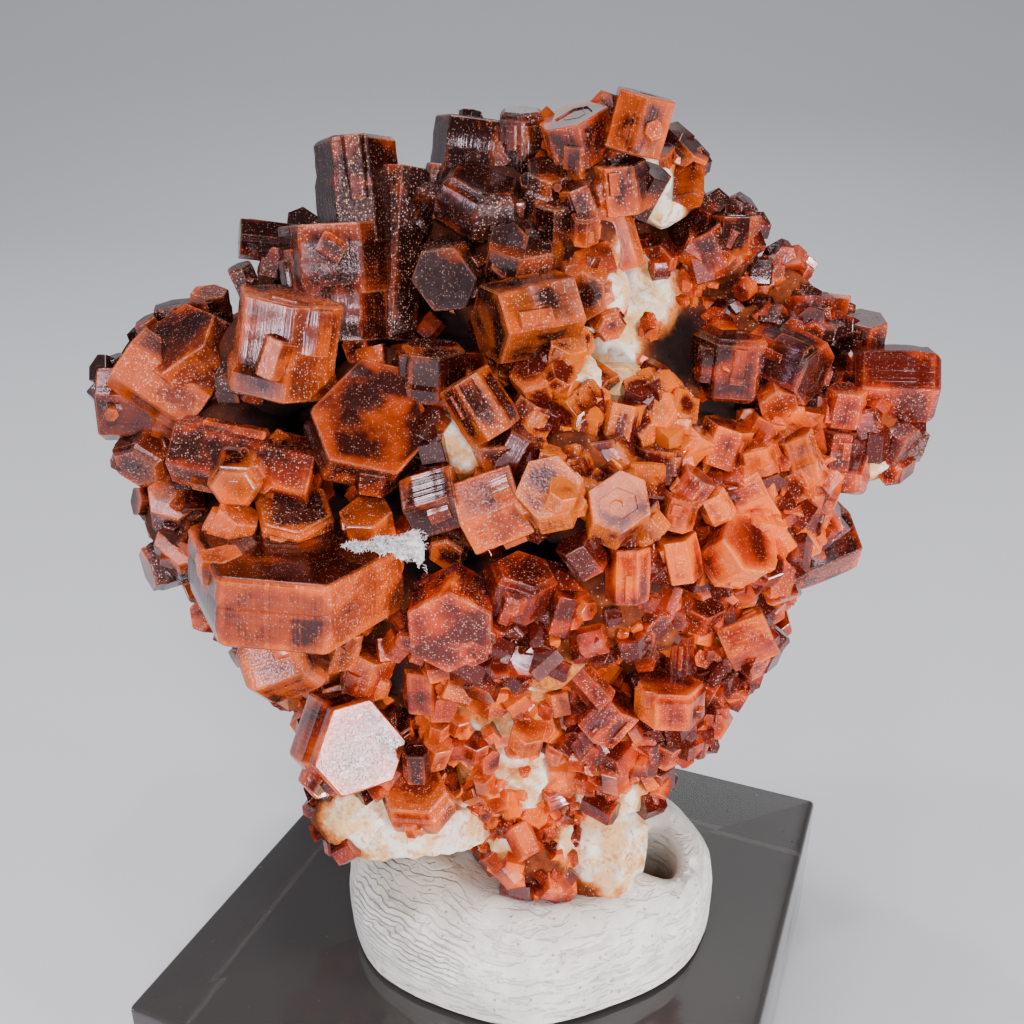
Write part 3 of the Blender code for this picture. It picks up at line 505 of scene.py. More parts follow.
def six_sides(radius, uneven, rng):
    """Corners of uneven hexagons: each side is moved in or out, and a corner is where two
    neighbouring sides meet."""
    angle = (np.arange(6) + 0.5) * math.pi / 3
    normal = np.stack([np.cos(angle), np.sin(angle)], -1)
    reach = radius[:, None] * math.cos(math.pi / 6) * (1 + uneven * rng.uniform(-1, 1, (len(radius), 6)))
    before, before_normal = np.roll(reach, 1, axis=1), np.roll(normal, 1, axis=0)
    return ((before - 0.5 * reach)[..., None] * before_normal
            + (reach - 0.5 * before)[..., None] * normal) / 0.75


BEVEL, BARREL_SHARE = 0.03, 0.22            # of the radius, and of the crystals


def grow(heap, stand, rng, hue, tone, steps, levels, uneven=0.09, terraces=True, painted_end_shade=0.12):
    """Six-sided crystals. A ring is a hexagon of `steps` points a side; the rings run from the
    lower end face up the six sides, which bulge, step and ripple a little, over a narrow bevel
    and across the upper end face, which rises or sinks in flat terraces."""
    centre, axis, side, radius, half = stand
    count, m = len(radius), len(steps)
    corners = six_sides(radius, uneven, rng)
    after = np.roll(corners, -1, axis=1)
    share = np.array(steps)[None, None, :, None]
    outline = (corners[:, :, None] * (1 - share) + after[:, :, None] * share).reshape(count, 6 * m, 2)
    width = BEVEL * radius * rng.uniform(0.5, 1.6, count) + 0.02
    barrel = (rng.random(count) < BARREL_SHARE) & (half > 0.55 * radius)
    width = np.where(barrel, radius * rng.uniform(0.10, 0.24, count), width)[:, None]
    flat = half[:, None] - width
    f = np.linspace(-1.0, 1.0, levels)[None]
    ledge = rng.uniform(-0.7, 0.8, (count, 1))
    depth = rng.uniform(0.0, 0.09, (count, 1)) * (rng.random((count, 1)) < 0.6)
    swell = rng.uniform(-0.01, 0.05, (count, 1)) * (1 - f * f)
    ripple = 0.006 * rng.normal(size=(count, levels))
    shrink = [1 + swell + ripple - depth * (f > ledge)]
    rise, cap = [f * flat], [np.zeros((count, levels))]
    rim = [(1 - np.abs(f)) * flat if levels > 2 else np.full((count, 2), 0.4)]
    first, last = shrink[0][:, :1], shrink[0][:, -1:]
    lower, upper = first - width / radius[:, None], last - width / radius[:, None]
    if levels > 2:
        middle = 0.42 * width / radius[:, None]
        shrink = [np.concatenate([first - middle, shrink[0], last - middle], 1)]
        rise = [np.concatenate([-flat - 0.58 * width, rise[0], flat + 0.58 * width], 1)]
        rim = [np.concatenate([0.6 * width, rim[0], 0.6 * width], 1)]
        cap = [np.zeros((count, levels + 2))]
    if terraces:
        one, two = rng.uniform(0.45, 0.72, (count, 1)), rng.uniform(0.12, 0.35, (count, 1))
        drop = radius[:, None] * rng.uniform(-0.05, 0.04, (count, 2)) * (rng.random((count, 2)) < 0.4)
        cuts = [upper, one * upper + 0.012, one * upper - 0.012, two * upper + 0.012, two * upper - 0.012]
        lift = [0 * one, 0 * one, drop[:, :1], drop[:, :1], drop.sum(1, keepdims=True)]
        shrink.append(np.concatenate(cuts, 1))
        rise.append(half[:, None] + np.concatenate(lift, 1))
        top_end = half + drop.sum(1)
    else:
        shrink.append(upper)
        rise.append(half[:, None])
        top_end = half
    rim.append((upper - shrink[1]) * radius[:, None] * 0.87)
    cap.append(np.ones_like(shrink[1]))
    shrink, rise = [lower] + shrink, [-half[:, None]] + rise
    rim, cap = [0 * width] + rim, [np.ones((count, 1))] + cap
    shrink, rise, rim, cap = (np.concatenate(each, 1) for each in (shrink, rise, rim, cap))
    drift = rng.uniform(-0.22, 0.22, (count, 1, 1, 2)) * radius[:, None, None, None]
    inward = np.clip(upper[:, :, None, None] - shrink[:, :, None, None], 0, 1) * cap[:, :, None, None]
    inward[:, 0] = 0
    outlines = np.broadcast_to(outline[:, None], (count, shrink.shape[1], 6 * m, 2)).copy()
    if terraces:
        other = six_sides(radius, 0.32, rng)
        other_after = np.roll(other, -1, axis=1)
        outlines[:, -4:] = (other[:, :, None] * (1 - share)
                            + other_after[:, :, None] * share).reshape(count, 1, 6 * m, 2)
    flatwise = outlines * shrink[:, :, None, None] + drift * inward
    across = np.cross(axis, side)
    points = (centre[:, None, None] + flatwise[..., :1] * side[:, None, None]
              + flatwise[..., 1:] * across[:, None, None]
              + rise[:, :, None, None] * axis[:, None, None])
    rows = shrink.shape[1]
    points = points.reshape(count, -1, 3)
    shifted = (drift[:, 0, 0, :1] * side + drift[:, 0, 0, 1:] * across) * upper
    ends = np.stack([centre - half[:, None] * axis, centre + top_end[:, None] * axis + shifted], 1)
    points = np.concatenate([points, ends], 1)

    reach = np.minimum(np.array(steps), 1 - np.array(steps)) if m > 2 else np.full(m, 0.3)
    corner = np.tile(reach, 6)[None, None] * radius[:, None, None]
    sideways = (np.tile(np.array(steps) - 0.5, 6) * (m > 1))[None, None] * radius[:, None, None]
    sideways = np.where(cap[:, :, None] > 0.5, 0.0, sideways + np.repeat(np.arange(6) * 7.3, m) * (m > 1))
    corner = np.where(cap[:, :, None] > 0.5, 3.0, np.broadcast_to(corner, (count, rows, 6 * m)))
    wide_rim = np.broadcast_to(rim[:, :, None], corner.shape)
    along = np.where(cap > 0.5, rim, rise + 20)[:, :, None] + 0 * corner
    faces_tint = np.repeat(rng.random((count, 6)), m, axis=1)[:, None] + 0 * corner
    tint = np.where(cap[:, :, None] > 0.5, rng.random((count, 1, 1)), faces_tint)
    # painted shade: end faces are set darker than the sides by the given amount; an amount below zero sets
    # them lighter, as a painted highlight
    shade = np.clip(tone[:, None, None] + 0.5 * (tint - 0.5) - painted_end_shade * cap[:, :, None], 0, 1)
    ended = np.broadcast_to(cap[:, :, None], corner.shape)
    edges = np.stack([corner, wide_rim, along], -1).reshape(count, -1, 3)
    look = np.stack([shade, tint, ended], -1).reshape(count, -1, 3)
    middle_rim = 0.8 * radius
    end_edges = np.stack([0 * radius + 3, middle_rim, middle_rim], -1)[:, None].repeat(2, 1)
    edges = np.concatenate([edges, end_edges], 1)
    look = np.concatenate([look, look[:, -1:], look[:, -1:]], 1)
    hues = hue + 0.12 * rng.normal(size=count)
    kind = np.stack([hues, rng.random(count), 0 * hues], -1)[:, None].repeat(points.shape[1], 1)
    kind[:, :-2, 2] = np.broadcast_to(sideways, corner.shape).reshape(count, -1)
    template = closed_faces(rows, 6 * m)
    start = (np.arange(count) * points.shape[1])[:, None, None]
    heap.add(points, [(each[None] + start).reshape(-1, each.shape[1]) for each in template],
             kind, look, edges)


LARGE_STEPS = (0.03, 0.18, 0.39, 0.61, 0.82, 0.97)
SMALL_STEPS = (0.05, 0.95)
TINY_STEPS = (0.0,)


def turned_about(direction, rng, spread):
    """Axes lying mostly flat to the skin and leaning a little towards `direction`, with a random
    direction square to each."""
    loose = rng.normal(size=direction.shape)
    loose -= 0.6 * (loose * direction).sum(1, keepdims=True) * direction
    axis = unit(0.35 * direction + spread * loose)
    return axis, unit(np.cross(axis, rng.normal(size=axis.shape)))


def offshoots(heap, stand, rng, hue, tone, each=3):
    """Smaller crystals half sunk in the sides and upper end of larger ones, most of them parallel
    to their host as such crystals grow."""
    centre, axis, side, radius, half = (np.repeat(part, each, axis=0) for part in stand)
    count = len(radius)
    across = np.cross(axis, side)
    angle = (rng.integers(0, 6, count) + 0.5 + rng.uniform(-0.3, 0.3, count)) * math.pi / 3
    out = np.cos(angle)[:, None] * side + np.sin(angle)[:, None] * across
    size = radius * rng.uniform(0.16, 0.42, count)
    tall = half * rng.uniform(0.25, 0.6, count)
    reach = radius * 0.87 - size * rng.uniform(0.25, 0.7, count)
    level = (half - tall) * rng.uniform(-0.9, 1.06, count)
    middle = centre + out * reach[:, None] + axis * level[:, None]
    loose = (rng.random(count) < 0.25)[:, None]
    lean = unit(axis + np.where(loose, 0.5, 0.03) * rng.normal(size=axis.shape))
    edge = unit(side - (side * lean).sum(1, keepdims=True) * lean)
    tones = np.clip(np.repeat(tone, each) + 0.1 * rng.normal(size=count), 0, 1)
    grow(heap, (middle, lean, edge, size, tall), rng, hue, tones, SMALL_STEPS, 5)


def crust(heap, roots, rng, hue, tone, cover):
    """The lumps that a group roots in: balls flattened along the line of sight and roughened by
    noise, each set with `cover` small crystals per square millimetre of its near side."""
    grid = 22, 38
    ball = unit_ball(*grid)
    for across, up, back, wide, deep in roots:
        centre, scale = sight(across, up, back)
        size = np.array((wide, deep, wide)) * scale
        lump = centre + (ball * size) @ VIEW
        lump = lump + (ball @ VIEW) * (0.55 * rock_relief(lump) - 0.1)[:, None]
        bare = bareness(lump)
        heap.add(lump, closed_faces(*grid), np.stack([painted_shade(lump), 0 * bare, bare], -1), coat=1)
        count = int(cover * 2 * math.pi * size[0] * size[2])
        near = rng.normal(size=(count, 3))
        near[:, 1] = -np.abs(near[:, 1])
        near = unit(near)
        spot = centre + (near * size * 1.02) @ VIEW
        out = unit((near / size) @ VIEW)
        keep = rng.random(count) > np.maximum(bareness(spot), painted_shade(spot) > 0.85)
        spot, out, count = spot[keep], out[keep], int(keep.sum())
        if not count:
            continue
        axis, side = turned_about(out, rng, 1.1)
        radius = rng.uniform(0.3, 0.95, count)
        # painted shade: the crust's small crystals are a little darker than their group, as they lie down in
        # its gaps
        tones = np.clip(tone - 0.15 + 0.28 * rng.normal(size=count), 0, 1)
        half = radius * rng.uniform(0.6, 1.3, count)
        grow(heap, (spot, axis, side, radius, half), rng, hue, tones, TINY_STEPS, 2, 0.14, terraces=False)


def vanadinite(name, deep, body, amber, glow):
    """Resinous crystal: deep inside, lighter body patches and a painted orange glow of light passing
    through it, lighter towards the edges; hair-thin pale lines along the edges, which are painted
    highlights; streaks along the growth; a faint painted sheen on the frosted faces; and painted
    glints, pale specks that are dense on some faces and thin on their glassy neighbours."""
    stone = Finish(name, IOR=1.65, Specular_IOR_Level=0.40, Specular_Tint=(1.0, 0.80, 0.84, 1))
    place = stone.node("TexCoord", {}, {}, "Object")
    corner, rim, along = stone.split("edges")
    tone, tint, ended = stone.split("look")
    hue, chance, sideways = stone.split("kind")
    near = corner.least(rim)
    cloud = stone.noise(place, 480.0, 1.5, 0.45, 0.5)
    fine = stone.noise(place, 2600.0, 2.0, 0.7)
    bands = stone.node("TexNoise", {"noise_dimensions": "1D"},
                       {"W": along * 4.5 + chance * 60.0, "Scale": 1.0, "Detail": 2.0, "Roughness": 0.7})
    streaks = stone.node("TexNoise", {"noise_dimensions": "1D"},
                         {"W": sideways * 5.0 + chance * 90.0, "Scale": 1.0, "Detail": 2.0, "Roughness": 0.7})
    specks = stone.node("TexVoronoi", {}, {"Vector": place, "Scale": 10500.0}, "Distance")
    luck = stone.node("SeparateXYZ", {}, {0: Wire(stone, specks.socket.node.outputs["Color"])})
    # frosted faces: rougher and more finely bumped, and given more painted glints and a faint painted sheen
    frost_and_sheen = tint.ramp(0.35, 0.85)
    # painted glints: a mask of pale specks, denser on the frosted faces
    glint_speck = specks.ramp(0.45, 0.20) * luck.ramp(0.40, 0.90) * (0.25 + 0.75 * frost_and_sheen) * fine.ramp(0.30, 0.55)
    # painted glow: the tone is raised towards the edges, as light passing through the thin edges
    edge_glow = near.ramp(0.55, 0.0)
    depth = (cloud * 2.6 - 1.3 + tone * 1.2 - 0.30 + 0.45 * edge_glow + 0.5 * (streaks - 0.5)
             + 0.3 * (bands - 0.5) * (1.0 - ended) + 0.4 * (fine - 0.5))
    colour = stone.mix(depth.ramp(0.0, 0.75), deep, body)
    colour = stone.mix(hue.ramp(0.3, 0.9) * depth.ramp(0.05, 0.6), colour, amber)
    # painted glow: where the tone is lightest the colour goes to the orange of light passing through the
    # crystal
    colour = stone.mix(depth.ramp(0.6, 1.25) * 0.9, colour, glow)
    # painted sheen: a faint reddish tint over the frosted faces
    colour = stone.mix(frost_and_sheen * fine.ramp(0.35, 0.65) * 0.08, colour, (0.30, 0.07, 0.04, 1))
    # painted highlights: hair-thin pale lines along the edges
    colour = stone.mix(near.ramp(0.045, 0.012) * (0.05 + 0.5 * fine) * (0.3 + 0.7 * tone), colour,
                       (0.60, 0.22, 0.09, 1))
    # painted glints: the pale specks
    colour = stone.mix(glint_speck * 0.85, colour, (0.86, 0.52, 0.38, 1))
    stone.feed(stone.shader, "Base Color", colour)
    stone.feed(stone.shader, "Roughness", 0.07 + 0.12 * fine + 0.14 * frost_and_sheen + 0.15 * glint_speck)
    glassy = 0.35 * streaks * (1.0 - ended) + 1.0 * cloud
    stone.relief(glassy + (0.03 + 0.5 * frost_and_sheen) * stone.noise(place, 9000.0, 1.0), 0.00006, 0.7)
    return stone


# the dark copy of the crystal finish, for the upper left and top: its darkness is partly the crystals' own
# colour and partly painted shade, where the light reaches least
dark_stone = vanadinite("vanadinite_dark", (0.012, 0.0016, 0.0006, 1), (0.13, 0.013, 0.002, 1),
                        (0.22, 0.038, 0.002, 1), (0.44, 0.060, 0.0015, 1))


def tones(rows, low, high):
    """Lightness of each crystal from where it stands in the view: brighter to the right and below,
    partly painted light from that side and partly the thinner crystals there."""
    spots = np.array([row[:2] for row in rows])
    bright = 0.5 + 0.020 * spots[:, 0] - 0.022 * spots[:, 1]
    return low + (high - low) * np.clip(bright, 0, 1)


def crystal_group(name, stone, rows, roots, seed, hue, low, high, cover, painted_end_shade=0.12):
    """One group: its listed crystals, their offshoots and the crust they share, in one mesh that
    dresses the solid of the same name. Its tones run from `low` to `high`."""
    rng = np.random.default_rng(seed)
    heap = Heap()
    stand = stance(rows)
    tone = tones(rows, low, high) + 0.2 * rng.normal(size=len(rows))
    grow(heap, stand, rng, hue, tone, LARGE_STEPS, 11, painted_end_shade=painted_end_shade)
    offshoots(heap, stand, rng, hue, tone)
    crust(heap, roots, rng, hue, float(tone.mean()), cover)
    heap.shade_crevices()
    dress(heap.piece(name, [stone, chalk], 18), "crystals_" + name)


# across, up, behind the middle; tilt, clock, turn; radius and half-height, for every crystal
TOWER = ((-8.2, 17.1, 0.5, 78, 356, 30, 2.35, 2.8), (-6.2, 13.8, 0.3, 80, 5, 10, 1.5, 4.5),
         (-9.0, 11.2, -1.5, 78, 0, 30, 2.5, 1.9), (-9.2, 13.6, -0.6, 76, 357, 30, 3.05, 1.8),
         (-13.0, 14.5, 0.5, 72, 272, 0, 1.1, 1.6), (-12.4, 13.3, 0.2, 80, 10, 10, 1.1, 0.8))
TOWER_ROOTS = ((-8.2, 12.8, 1.6, 3.6, 1.8), (-11.5, 13.0, 1.6, 2.0, 1.2))
crystal_group("tower", dark_stone, TOWER, TOWER_ROOTS, seed=101, hue=0.35, low=0.25, high=0.75, cover=0.2)


# The left wing: broad red-brown plates fanned out to the far left, over thin translucent ones.
LEFT_WING = ((-20.4, 5.9, -0.5, 80, 268, 5, 2.0, 1.6), (-18.6, 7.0, -1.5, 75, 305, 25, 1.9, 2.4),
             (-16.8, 8.3, -1.0, 40, 320, 20, 2.5, 1.8), (-17.9, 10.0, 1.3, 65, 350, 10, 1.2, 1.2),
             (-16.1, 10.6, 0.5, 55, 5, 0, 1.1, 1.3), (-19.2, 9.6, 0.4, 60, 330, 0, 0.75, 0.9),
             (-19.4, 3.1, -1.5, 45, 200, 10, 1.65, 1.4))
LEFT_WING_ROOTS = ((-17.6, 6.6, 1.2, 3.6, 2.6),)
crystal_group("left_wing", dark_stone, LEFT_WING, LEFT_WING_ROOTS, seed=102,
              hue=0.3, low=0.4, high=0.9, cover=0.25)


# The big tabular crystal left of the tower, glittering on its face, with a striated left side.
BIG_TABULAR = ((-12.0, 9.1, -4.0, 70, 12, 22, 3.15, 2.55), (-14.2, 12.2, -2.5, 60, 340, 10, 0.8, 1.1))
BIG_TABULAR_ROOTS = ((-12.6, 8.2, -1.6, 3.0, 2.8),)
crystal_group("big_tabular", dark_stone, BIG_TABULAR, BIG_TABULAR_ROOTS, seed=103,
              hue=0.2, low=0.5, high=0.85, cover=0.15)


# Plates at the left, under the wing: a long prism lying across, and pale whitish-tan faces below, whose end
# faces are painted lighter than their sides as a highlight.
red_stone = vanadinite("vanadinite_red", (0.024, 0.002, 0.0006, 1), (0.25, 0.016, 0.001, 1),
                       (0.38, 0.062, 0.002, 1), (0.66, 0.090, 0.0015, 1))
LEFT_PLATES = ((-14.0, 2.7, -4.0, 84, 103, 28, 2.05, 3.9), (-14.8, 1.9, -6.0, 30, 170, 15, 1.5, 1.4),
               (-17.8, 0.4, -3.0, 35, 5, 20, 1.8, 0.9), (-17.4, -1.8, -3.5, 30, 20, 10, 1.75, 1.0),
               (-18.4, -2.7, -2.5, 60, 250, 10, 1.3, 1.2), (-19.3, 0.6, -2.0, 50, 270, 0, 0.9, 0.9))
LEFT_PLATES_ROOTS = ((-14.2, 3.4, -2.4, 3.0, 2.6), (-16.6, -0.4, -2.0, 2.8, 2.4))
crystal_group("left_plates", red_stone, LEFT_PLATES, LEFT_PLATES_ROOTS, seed=104,
              hue=0.6, low=0.1, high=0.7, cover=0.25, painted_end_shade=-0.35)


# The thick plate: the largest crystal, lying nearly flat, brown on top, where its end face is painted darker
# as shade, and brilliant orange in front, a painted glow of light passing through its edge, with a pinkish
# block grown under it.
THICK_PLATE = ((-11.5, -3.2, -7.5, 66, 5, 30, 5.8, 2.0), (-15.4, -1.5, -7.0, 65, 33, 20, 1.3, 2.0),
               (-7.7, -0.8, -6.5, 50, 355, 20, 1.4, 1.1), (-11.7, -0.4, -6.0, 50, 10, 25, 2.3, 1.0),
               (-12.2, -7.7, -8.3, 82, 71, 30, 2.25, 1.95), (-9.5, -6.9, -6.5, 60, 20, 15, 1.5, 1.2))
THICK_PLATE_ROOTS = ((-11.2, -2.6, -4.4, 4.6, 2.4), (-10.8, -6.4, -5.0, 2.4, 2.2))
crystal_group("thick_plate", red_stone, THICK_PLATE, THICK_PLATE_ROOTS, seed=105,
              hue=0.6, low=0.5, high=1.05, cover=0.2, painted_end_shade=0.6)


# Lower left: a large crystal whose striated end face catches the light, and a tabular one below.
LOWER_LEFT = ((-8.8, -12.4, -6.5, 30, 95, 15, 3.0, 1.7), (-7.6, -8.4, -5.0, 66, 20, 20, 1.5, 1.3),
              (-4.8, -9.3, -5.5, 65, 0, 20, 1.2, 1.3), (-6.3, -12.0, -5.0, 50, 350, 0, 1.4, 1.2),
              (-5.0, -15.3, -6.0, 45, 350, 15, 1.9, 1.1), (-5.1, -13.5, -7.0, 60, 0, 30, 0.75, 1.0),
              (-4.2, -12.8, -5.8, 55, 20, 10, 0.95, 0.8), (-7.9, -16.2, -6.0, 45, 30, 10, 0.7, 0.6),
              (-9.3, -16.6, -4.5, 75, 320, 0, 0.85, 1.5))
LOWER_LEFT_ROOTS = ((-7.6, -11.8, -3.4, 3.2, 2.4), (-5.6, -14.6, -4.6, 2.2, 1.6),
                    (-8.2, -15.8, -4.9, 2.4, 1.8))
crystal_group("lower_left", red_stone, LOWER_LEFT, LOWER_LEFT_ROOTS, seed=106,
              hue=0.15, low=0.1, high=0.8, cover=0.5)


# Left of the middle: a broad crystal with a bright orange patch in a deep red face, two striated
# prisms, and a pair of square-looking blocks at the centre.
MIDDLE_LEFT = ((-7.5, 4.5, -5.0, 22, 40, 0, 3.6, 1.5), (-4.2, 7.6, -3.5, 62, 3, 20, 1.95, 1.3),
               (-1.7, 5.7, -6.0, 80, 328, 30, 1.6, 1.7), (-0.9, 0.2, -7.5, 80, 70, 4, 2.2, 1.7),
               (-4.1, 0.6, -7.0, 80, 74, 0, 1.95, 1.45), (-3.4, -1.7, -6.0, 40, 190, 0, 1.1, 1.0),
               (-0.6, 3.3, -6.0, 50, 350, 20, 1.6, 1.2))
MIDDLE_LEFT_ROOTS = ((-6.6, 5.4, -3.4, 3.4, 1.8), (-2.4, 3.4, -4.6, 3.0, 2.0), (-2.2, 0.2, -5.2, 2.4, 2.2))
# painted highlight: this group's end faces are set lighter than its sides
crystal_group("middle_left", red_stone, MIDDLE_LEFT, MIDDLE_LEFT_ROOTS, seed=107,
              hue=0.55, low=0.0, high=0.75, cover=0.25, painted_end_shade=-0.2)


# Top centre: dark, nearly black crystals against the light, with brown-orange blocks before them.
TOP_CENTRE = ((0.8, 10.5, -4.0, 65, 254, 30, 2.4, 2.3), (-3.2, 12.6, -2.5, 25, 215, 10, 1.9, 1.5),
              (0.2, 13.4, -2.0, 50, 10, 10, 2.0, 1.2), (-1.7, 16.6, -0.5, 50, 15, 0, 2.5, 1.4),
              (-2.1, 18.7, 2.5, 75, 8, 25, 2.7, 2.2), (-2.3, 20.8, 3.5, 80, 5, 25, 0.7, 0.7),
              (0.5, 19.7, 1.5, 60, 0, 0, 1.5, 1.8), (1.8, 17.5, -0.5, 40, 10, 10, 1.4, 1.1),
              (2.2, 15.9, -1.0, 45, 0, 0, 1.25, 1.0))
TOP_CENTRE_ROOTS = ((-1.2, 15.8, 0.8, 3.6, 2.0), (-0.6, 12.2, -1.2, 3.0, 2.0))
crystal_group("top_centre", dark_stone, TOP_CENTRE, TOP_CENTRE_ROOTS, seed=108,
              hue=0.5, low=-0.4, high=1.35, cover=0.25)


# Top right: orange prisms stepping down beside the white edge of the rock.
TOP_RIGHT = ((3.6, 20.2, 0.5, 55, 340, 0, 2.0, 1.2), (6.7, 20.9, -0.5, 65, 15, 5, 1.75, 1.5),
             (5.9, 17.5, -0.5, 60, 350, 20, 1.5, 1.3), (3.7, 16.7, -1.5, 60, 335, 25, 1.0, 0.9),
             (3.9, 15.2, -2.0, 50, 0, 10, 0.85, 0.8), (3.5, 19.0, -0.3, 50, 0, 10, 1.0, 0.9),
             (5.9, 14.5, -0.5, 78, 342, 20, 0.95, 1.5), (4.0, 11.9, -2.5, 35, 200, 20, 1.4, 1.0),
             (5.0, 10.3, -2.5, 45, 150, 10, 1.0, 0.9), (9.2, 18.8, 2.0, 50, 40, 10, 1.15, 1.0),
             (8.2, 18.7, 1.8, 50, 330, 0, 0.8, 0.8), (8.8, 17.1, 1.8, 60, 20, 10, 0.85, 0.8))
TOP_RIGHT_ROOTS = ((4.6, 18.4, 1.0, 3.2, 1.8), (4.2, 14.4, -0.4, 2.0, 1.6), (4.6, 11.6, -1.6, 1.8, 1.4),
                   (8.0, 17.6, 2.4, 2.2, 1.6))
crystal_group("top_right", red_stone, TOP_RIGHT, TOP_RIGHT_ROOTS, seed=109,
              hue=0.6, low=0.3, high=0.95, cover=0.5)


# Upper right: a run of small crystals down the shoulder to a grey-topped block and its neighbour.
UPPER_RIGHT = ((10.6, 14.1, 2.0, 70, 330, 10, 1.15, 1.1), (12.0, 14.9, 2.5, 70, 0, 20, 1.25, 1.0),
               (13.2, 12.0, 3.0, 60, 10, 10, 1.3, 1.0), (15.3, 9.9, 2.5, 70, 3, 5, 1.75, 1.3),
               (18.7, 9.5, 2.5, 55, 0, 0, 1.4, 1.0), (11.7, 8.0, -0.5, 66, 2, 25, 2.1, 1.7),
               (14.7, 8.1, -1.0, 55, 125, 0, 1.7, 1.9), (14.2, 6.2, -1.8, 50, 180, 20, 1.1, 0.8))
UPPER_RIGHT_ROOTS = ((11.0, 14.2, 3.6, 2.2, 1.8), (13.6, 11.0, 3.4, 2.6, 2.0),
                     (13.6, 8.0, 1.0, 3.2, 2.0), (17.2, 9.2, 3.0, 1.8, 1.2))
crystal_group("upper_right", red_stone, UPPER_RIGHT, UPPER_RIGHT_ROOTS, seed=110,
              hue=0.25, low=-0.2, high=0.7, cover=0.8)


# Far right: red crystals with wavy, rough sides, hanging out past the rock.
# the bright copy of the crystal finish, for the middle, the right, the lower parts and the front druse: its
# brightness is partly the crystals' own orange and partly painted light, where the lamps fall strongest
orange_stone = vanadinite("vanadinite_orange", (0.07, 0.0035, 0.0006, 1), (0.42, 0.030, 0.0015, 1),
                          (0.53, 0.100, 0.002, 1), (0.88, 0.135, 0.0015, 1))
FAR_RIGHT = ((20.4, 6.8, 0.5, 80, 93, 18, 2.2, 2.15), (20.3, 4.0, -0.5, 60, 130, 10, 1.4, 1.2),
             (17.8, 5.7, -1.0, 60, 3, 25, 1.1, 1.0), (17.5, 3.4, -1.5, 72, 4, 26, 1.1, 1.0),
             (17.9, 2.1, -1.5, 60, 100, 0, 1.3, 1.1))
FAR_RIGHT_ROOTS = ((18.6, 4.6, 0.8, 2.8, 2.2),)
crystal_group("far_right", orange_stone, FAR_RIGHT, FAR_RIGHT_ROOTS, seed=111,
              hue=0.1, low=-0.2, high=0.4, cover=0.7)


# The right-hand druse: a bright orange thicket of small crystals.
RIGHT_DRUSE = ((15.3, 3.0, -2.5, 72, 338, 24, 1.3, 1.3), (13.2, 2.2, -3.5, 74, 345, 22, 1.15, 1.35),
               (13.4, 4.2, -2.0, 66, 24, 10, 1.05, 0.95), (15.3, -1.1, -2.5, 64, 320, 10, 1.4, 1.2),
               (16.1, 0.4, -2.0, 50, 60, 0, 1.0, 0.9), (12.8, 0.6, -4.0, 72, 62, 4, 1.5, 1.15),
               (11.3, 3.7, -3.0, 70, 18, 26, 1.4, 1.1), (12.0, -2.1, -6.0, 40, 50, 20, 1.95, 1.2),
               (9.6, 1.3, -6.0, 68, 34, 12, 1.0, 0.9), (10.9, 0.4, -5.5, 66, 328, 12, 0.9, 0.85),
               (8.9, -2.3, -6.5, 65, 345, 15, 1.2, 1.3), (8.8, 0.1, -6.5, 70, 12, 26, 1.1, 0.9))
RIGHT_DRUSE_ROOTS = ((13.4, 2.2, -0.6, 3.6, 2.6), (11.8, -0.8, -3.0, 3.6, 2.4), (15.0, -1.0, -1.0, 1.8, 1.8))
crystal_group("right_druse", orange_stone, RIGHT_DRUSE, RIGHT_DRUSE_ROOTS, seed=112,
              hue=0.4, low=0.15, high=0.9, cover=1.5)


# Upper centre: amber crystals crowded on the crust below the white rock.
CENTRE_UPPER = ((7.9, 4.6, -4.0, 76, 352, 28, 0.95, 1.6), (5.8, 4.9, -4.5, 70, 10, 24, 1.3, 1.2),
                (4.9, 3.3, -5.5, 66, 350, 24, 1.25, 0.9), (7.8, 2.6, -5.3, 72, 4, 26, 1.25, 0.9),
                (9.6, 3.6, -4.0, 66, 40, 6, 1.0, 0.95), (3.1, 4.9, -5.0, 64, 335, 6, 0.95, 0.85),
                (4.3, 5.9, -4.5, 50, 30, 20, 0.8, 0.8), (1.3, 7.1, -5.0, 30, 330, 10, 1.3, 1.0),
                (2.5, 7.3, -5.6, 35, 60, 10, 0.9, 0.7), (2.9, 8.6, -4.8, 47, 16, 14, 1.2, 0.7),
                (0.8, 5.2, -5.5, 66, 30, 12, 1.1, 1.0))
CENTRE_UPPER_ROOTS = ((5.6, 4.2, -3.4, 3.8, 1.6), (2.2, 6.6, -3.6, 2.6, 1.6))
crystal_group("centre_upper", orange_stone, CENTRE_UPPER, CENTRE_UPPER_ROOTS, seed=113,
              hue=0.85, low=0.1, high=0.6, cover=1.3)


# The very middle: an amber plate and a block with a pale frame round its end face.
CENTRE_FRONT = ((0.4, 3.3, -6.5, 66, 28, 20, 1.3, 1.2), (2.0, 2.7, -7.0, 62, 12, 10, 0.85, 0.7),
                (3.6, 2.3, -7.0, 66, 338, 10, 0.85, 0.85), (2.1, 0.9, -9.0, 26, 340, 20, 2.0, 1.0),
                (2.6, 0.8, -10.0, 45, 20, 10, 0.95, 0.7), (5.7, 0.1, -8.5, 24, 8, 14, 1.85, 1.2))
CENTRE_FRONT_ROOTS = ((2.8, 1.4, -6.0, 3.2, 2.0), (5.8, 0.4, -6.6, 2.0, 1.6))
crystal_group("centre_front", orange_stone, CENTRE_FRONT, CENTRE_FRONT_ROOTS, seed=114,
              hue=0.9, low=0.0, high=0.5, cover=0.8)


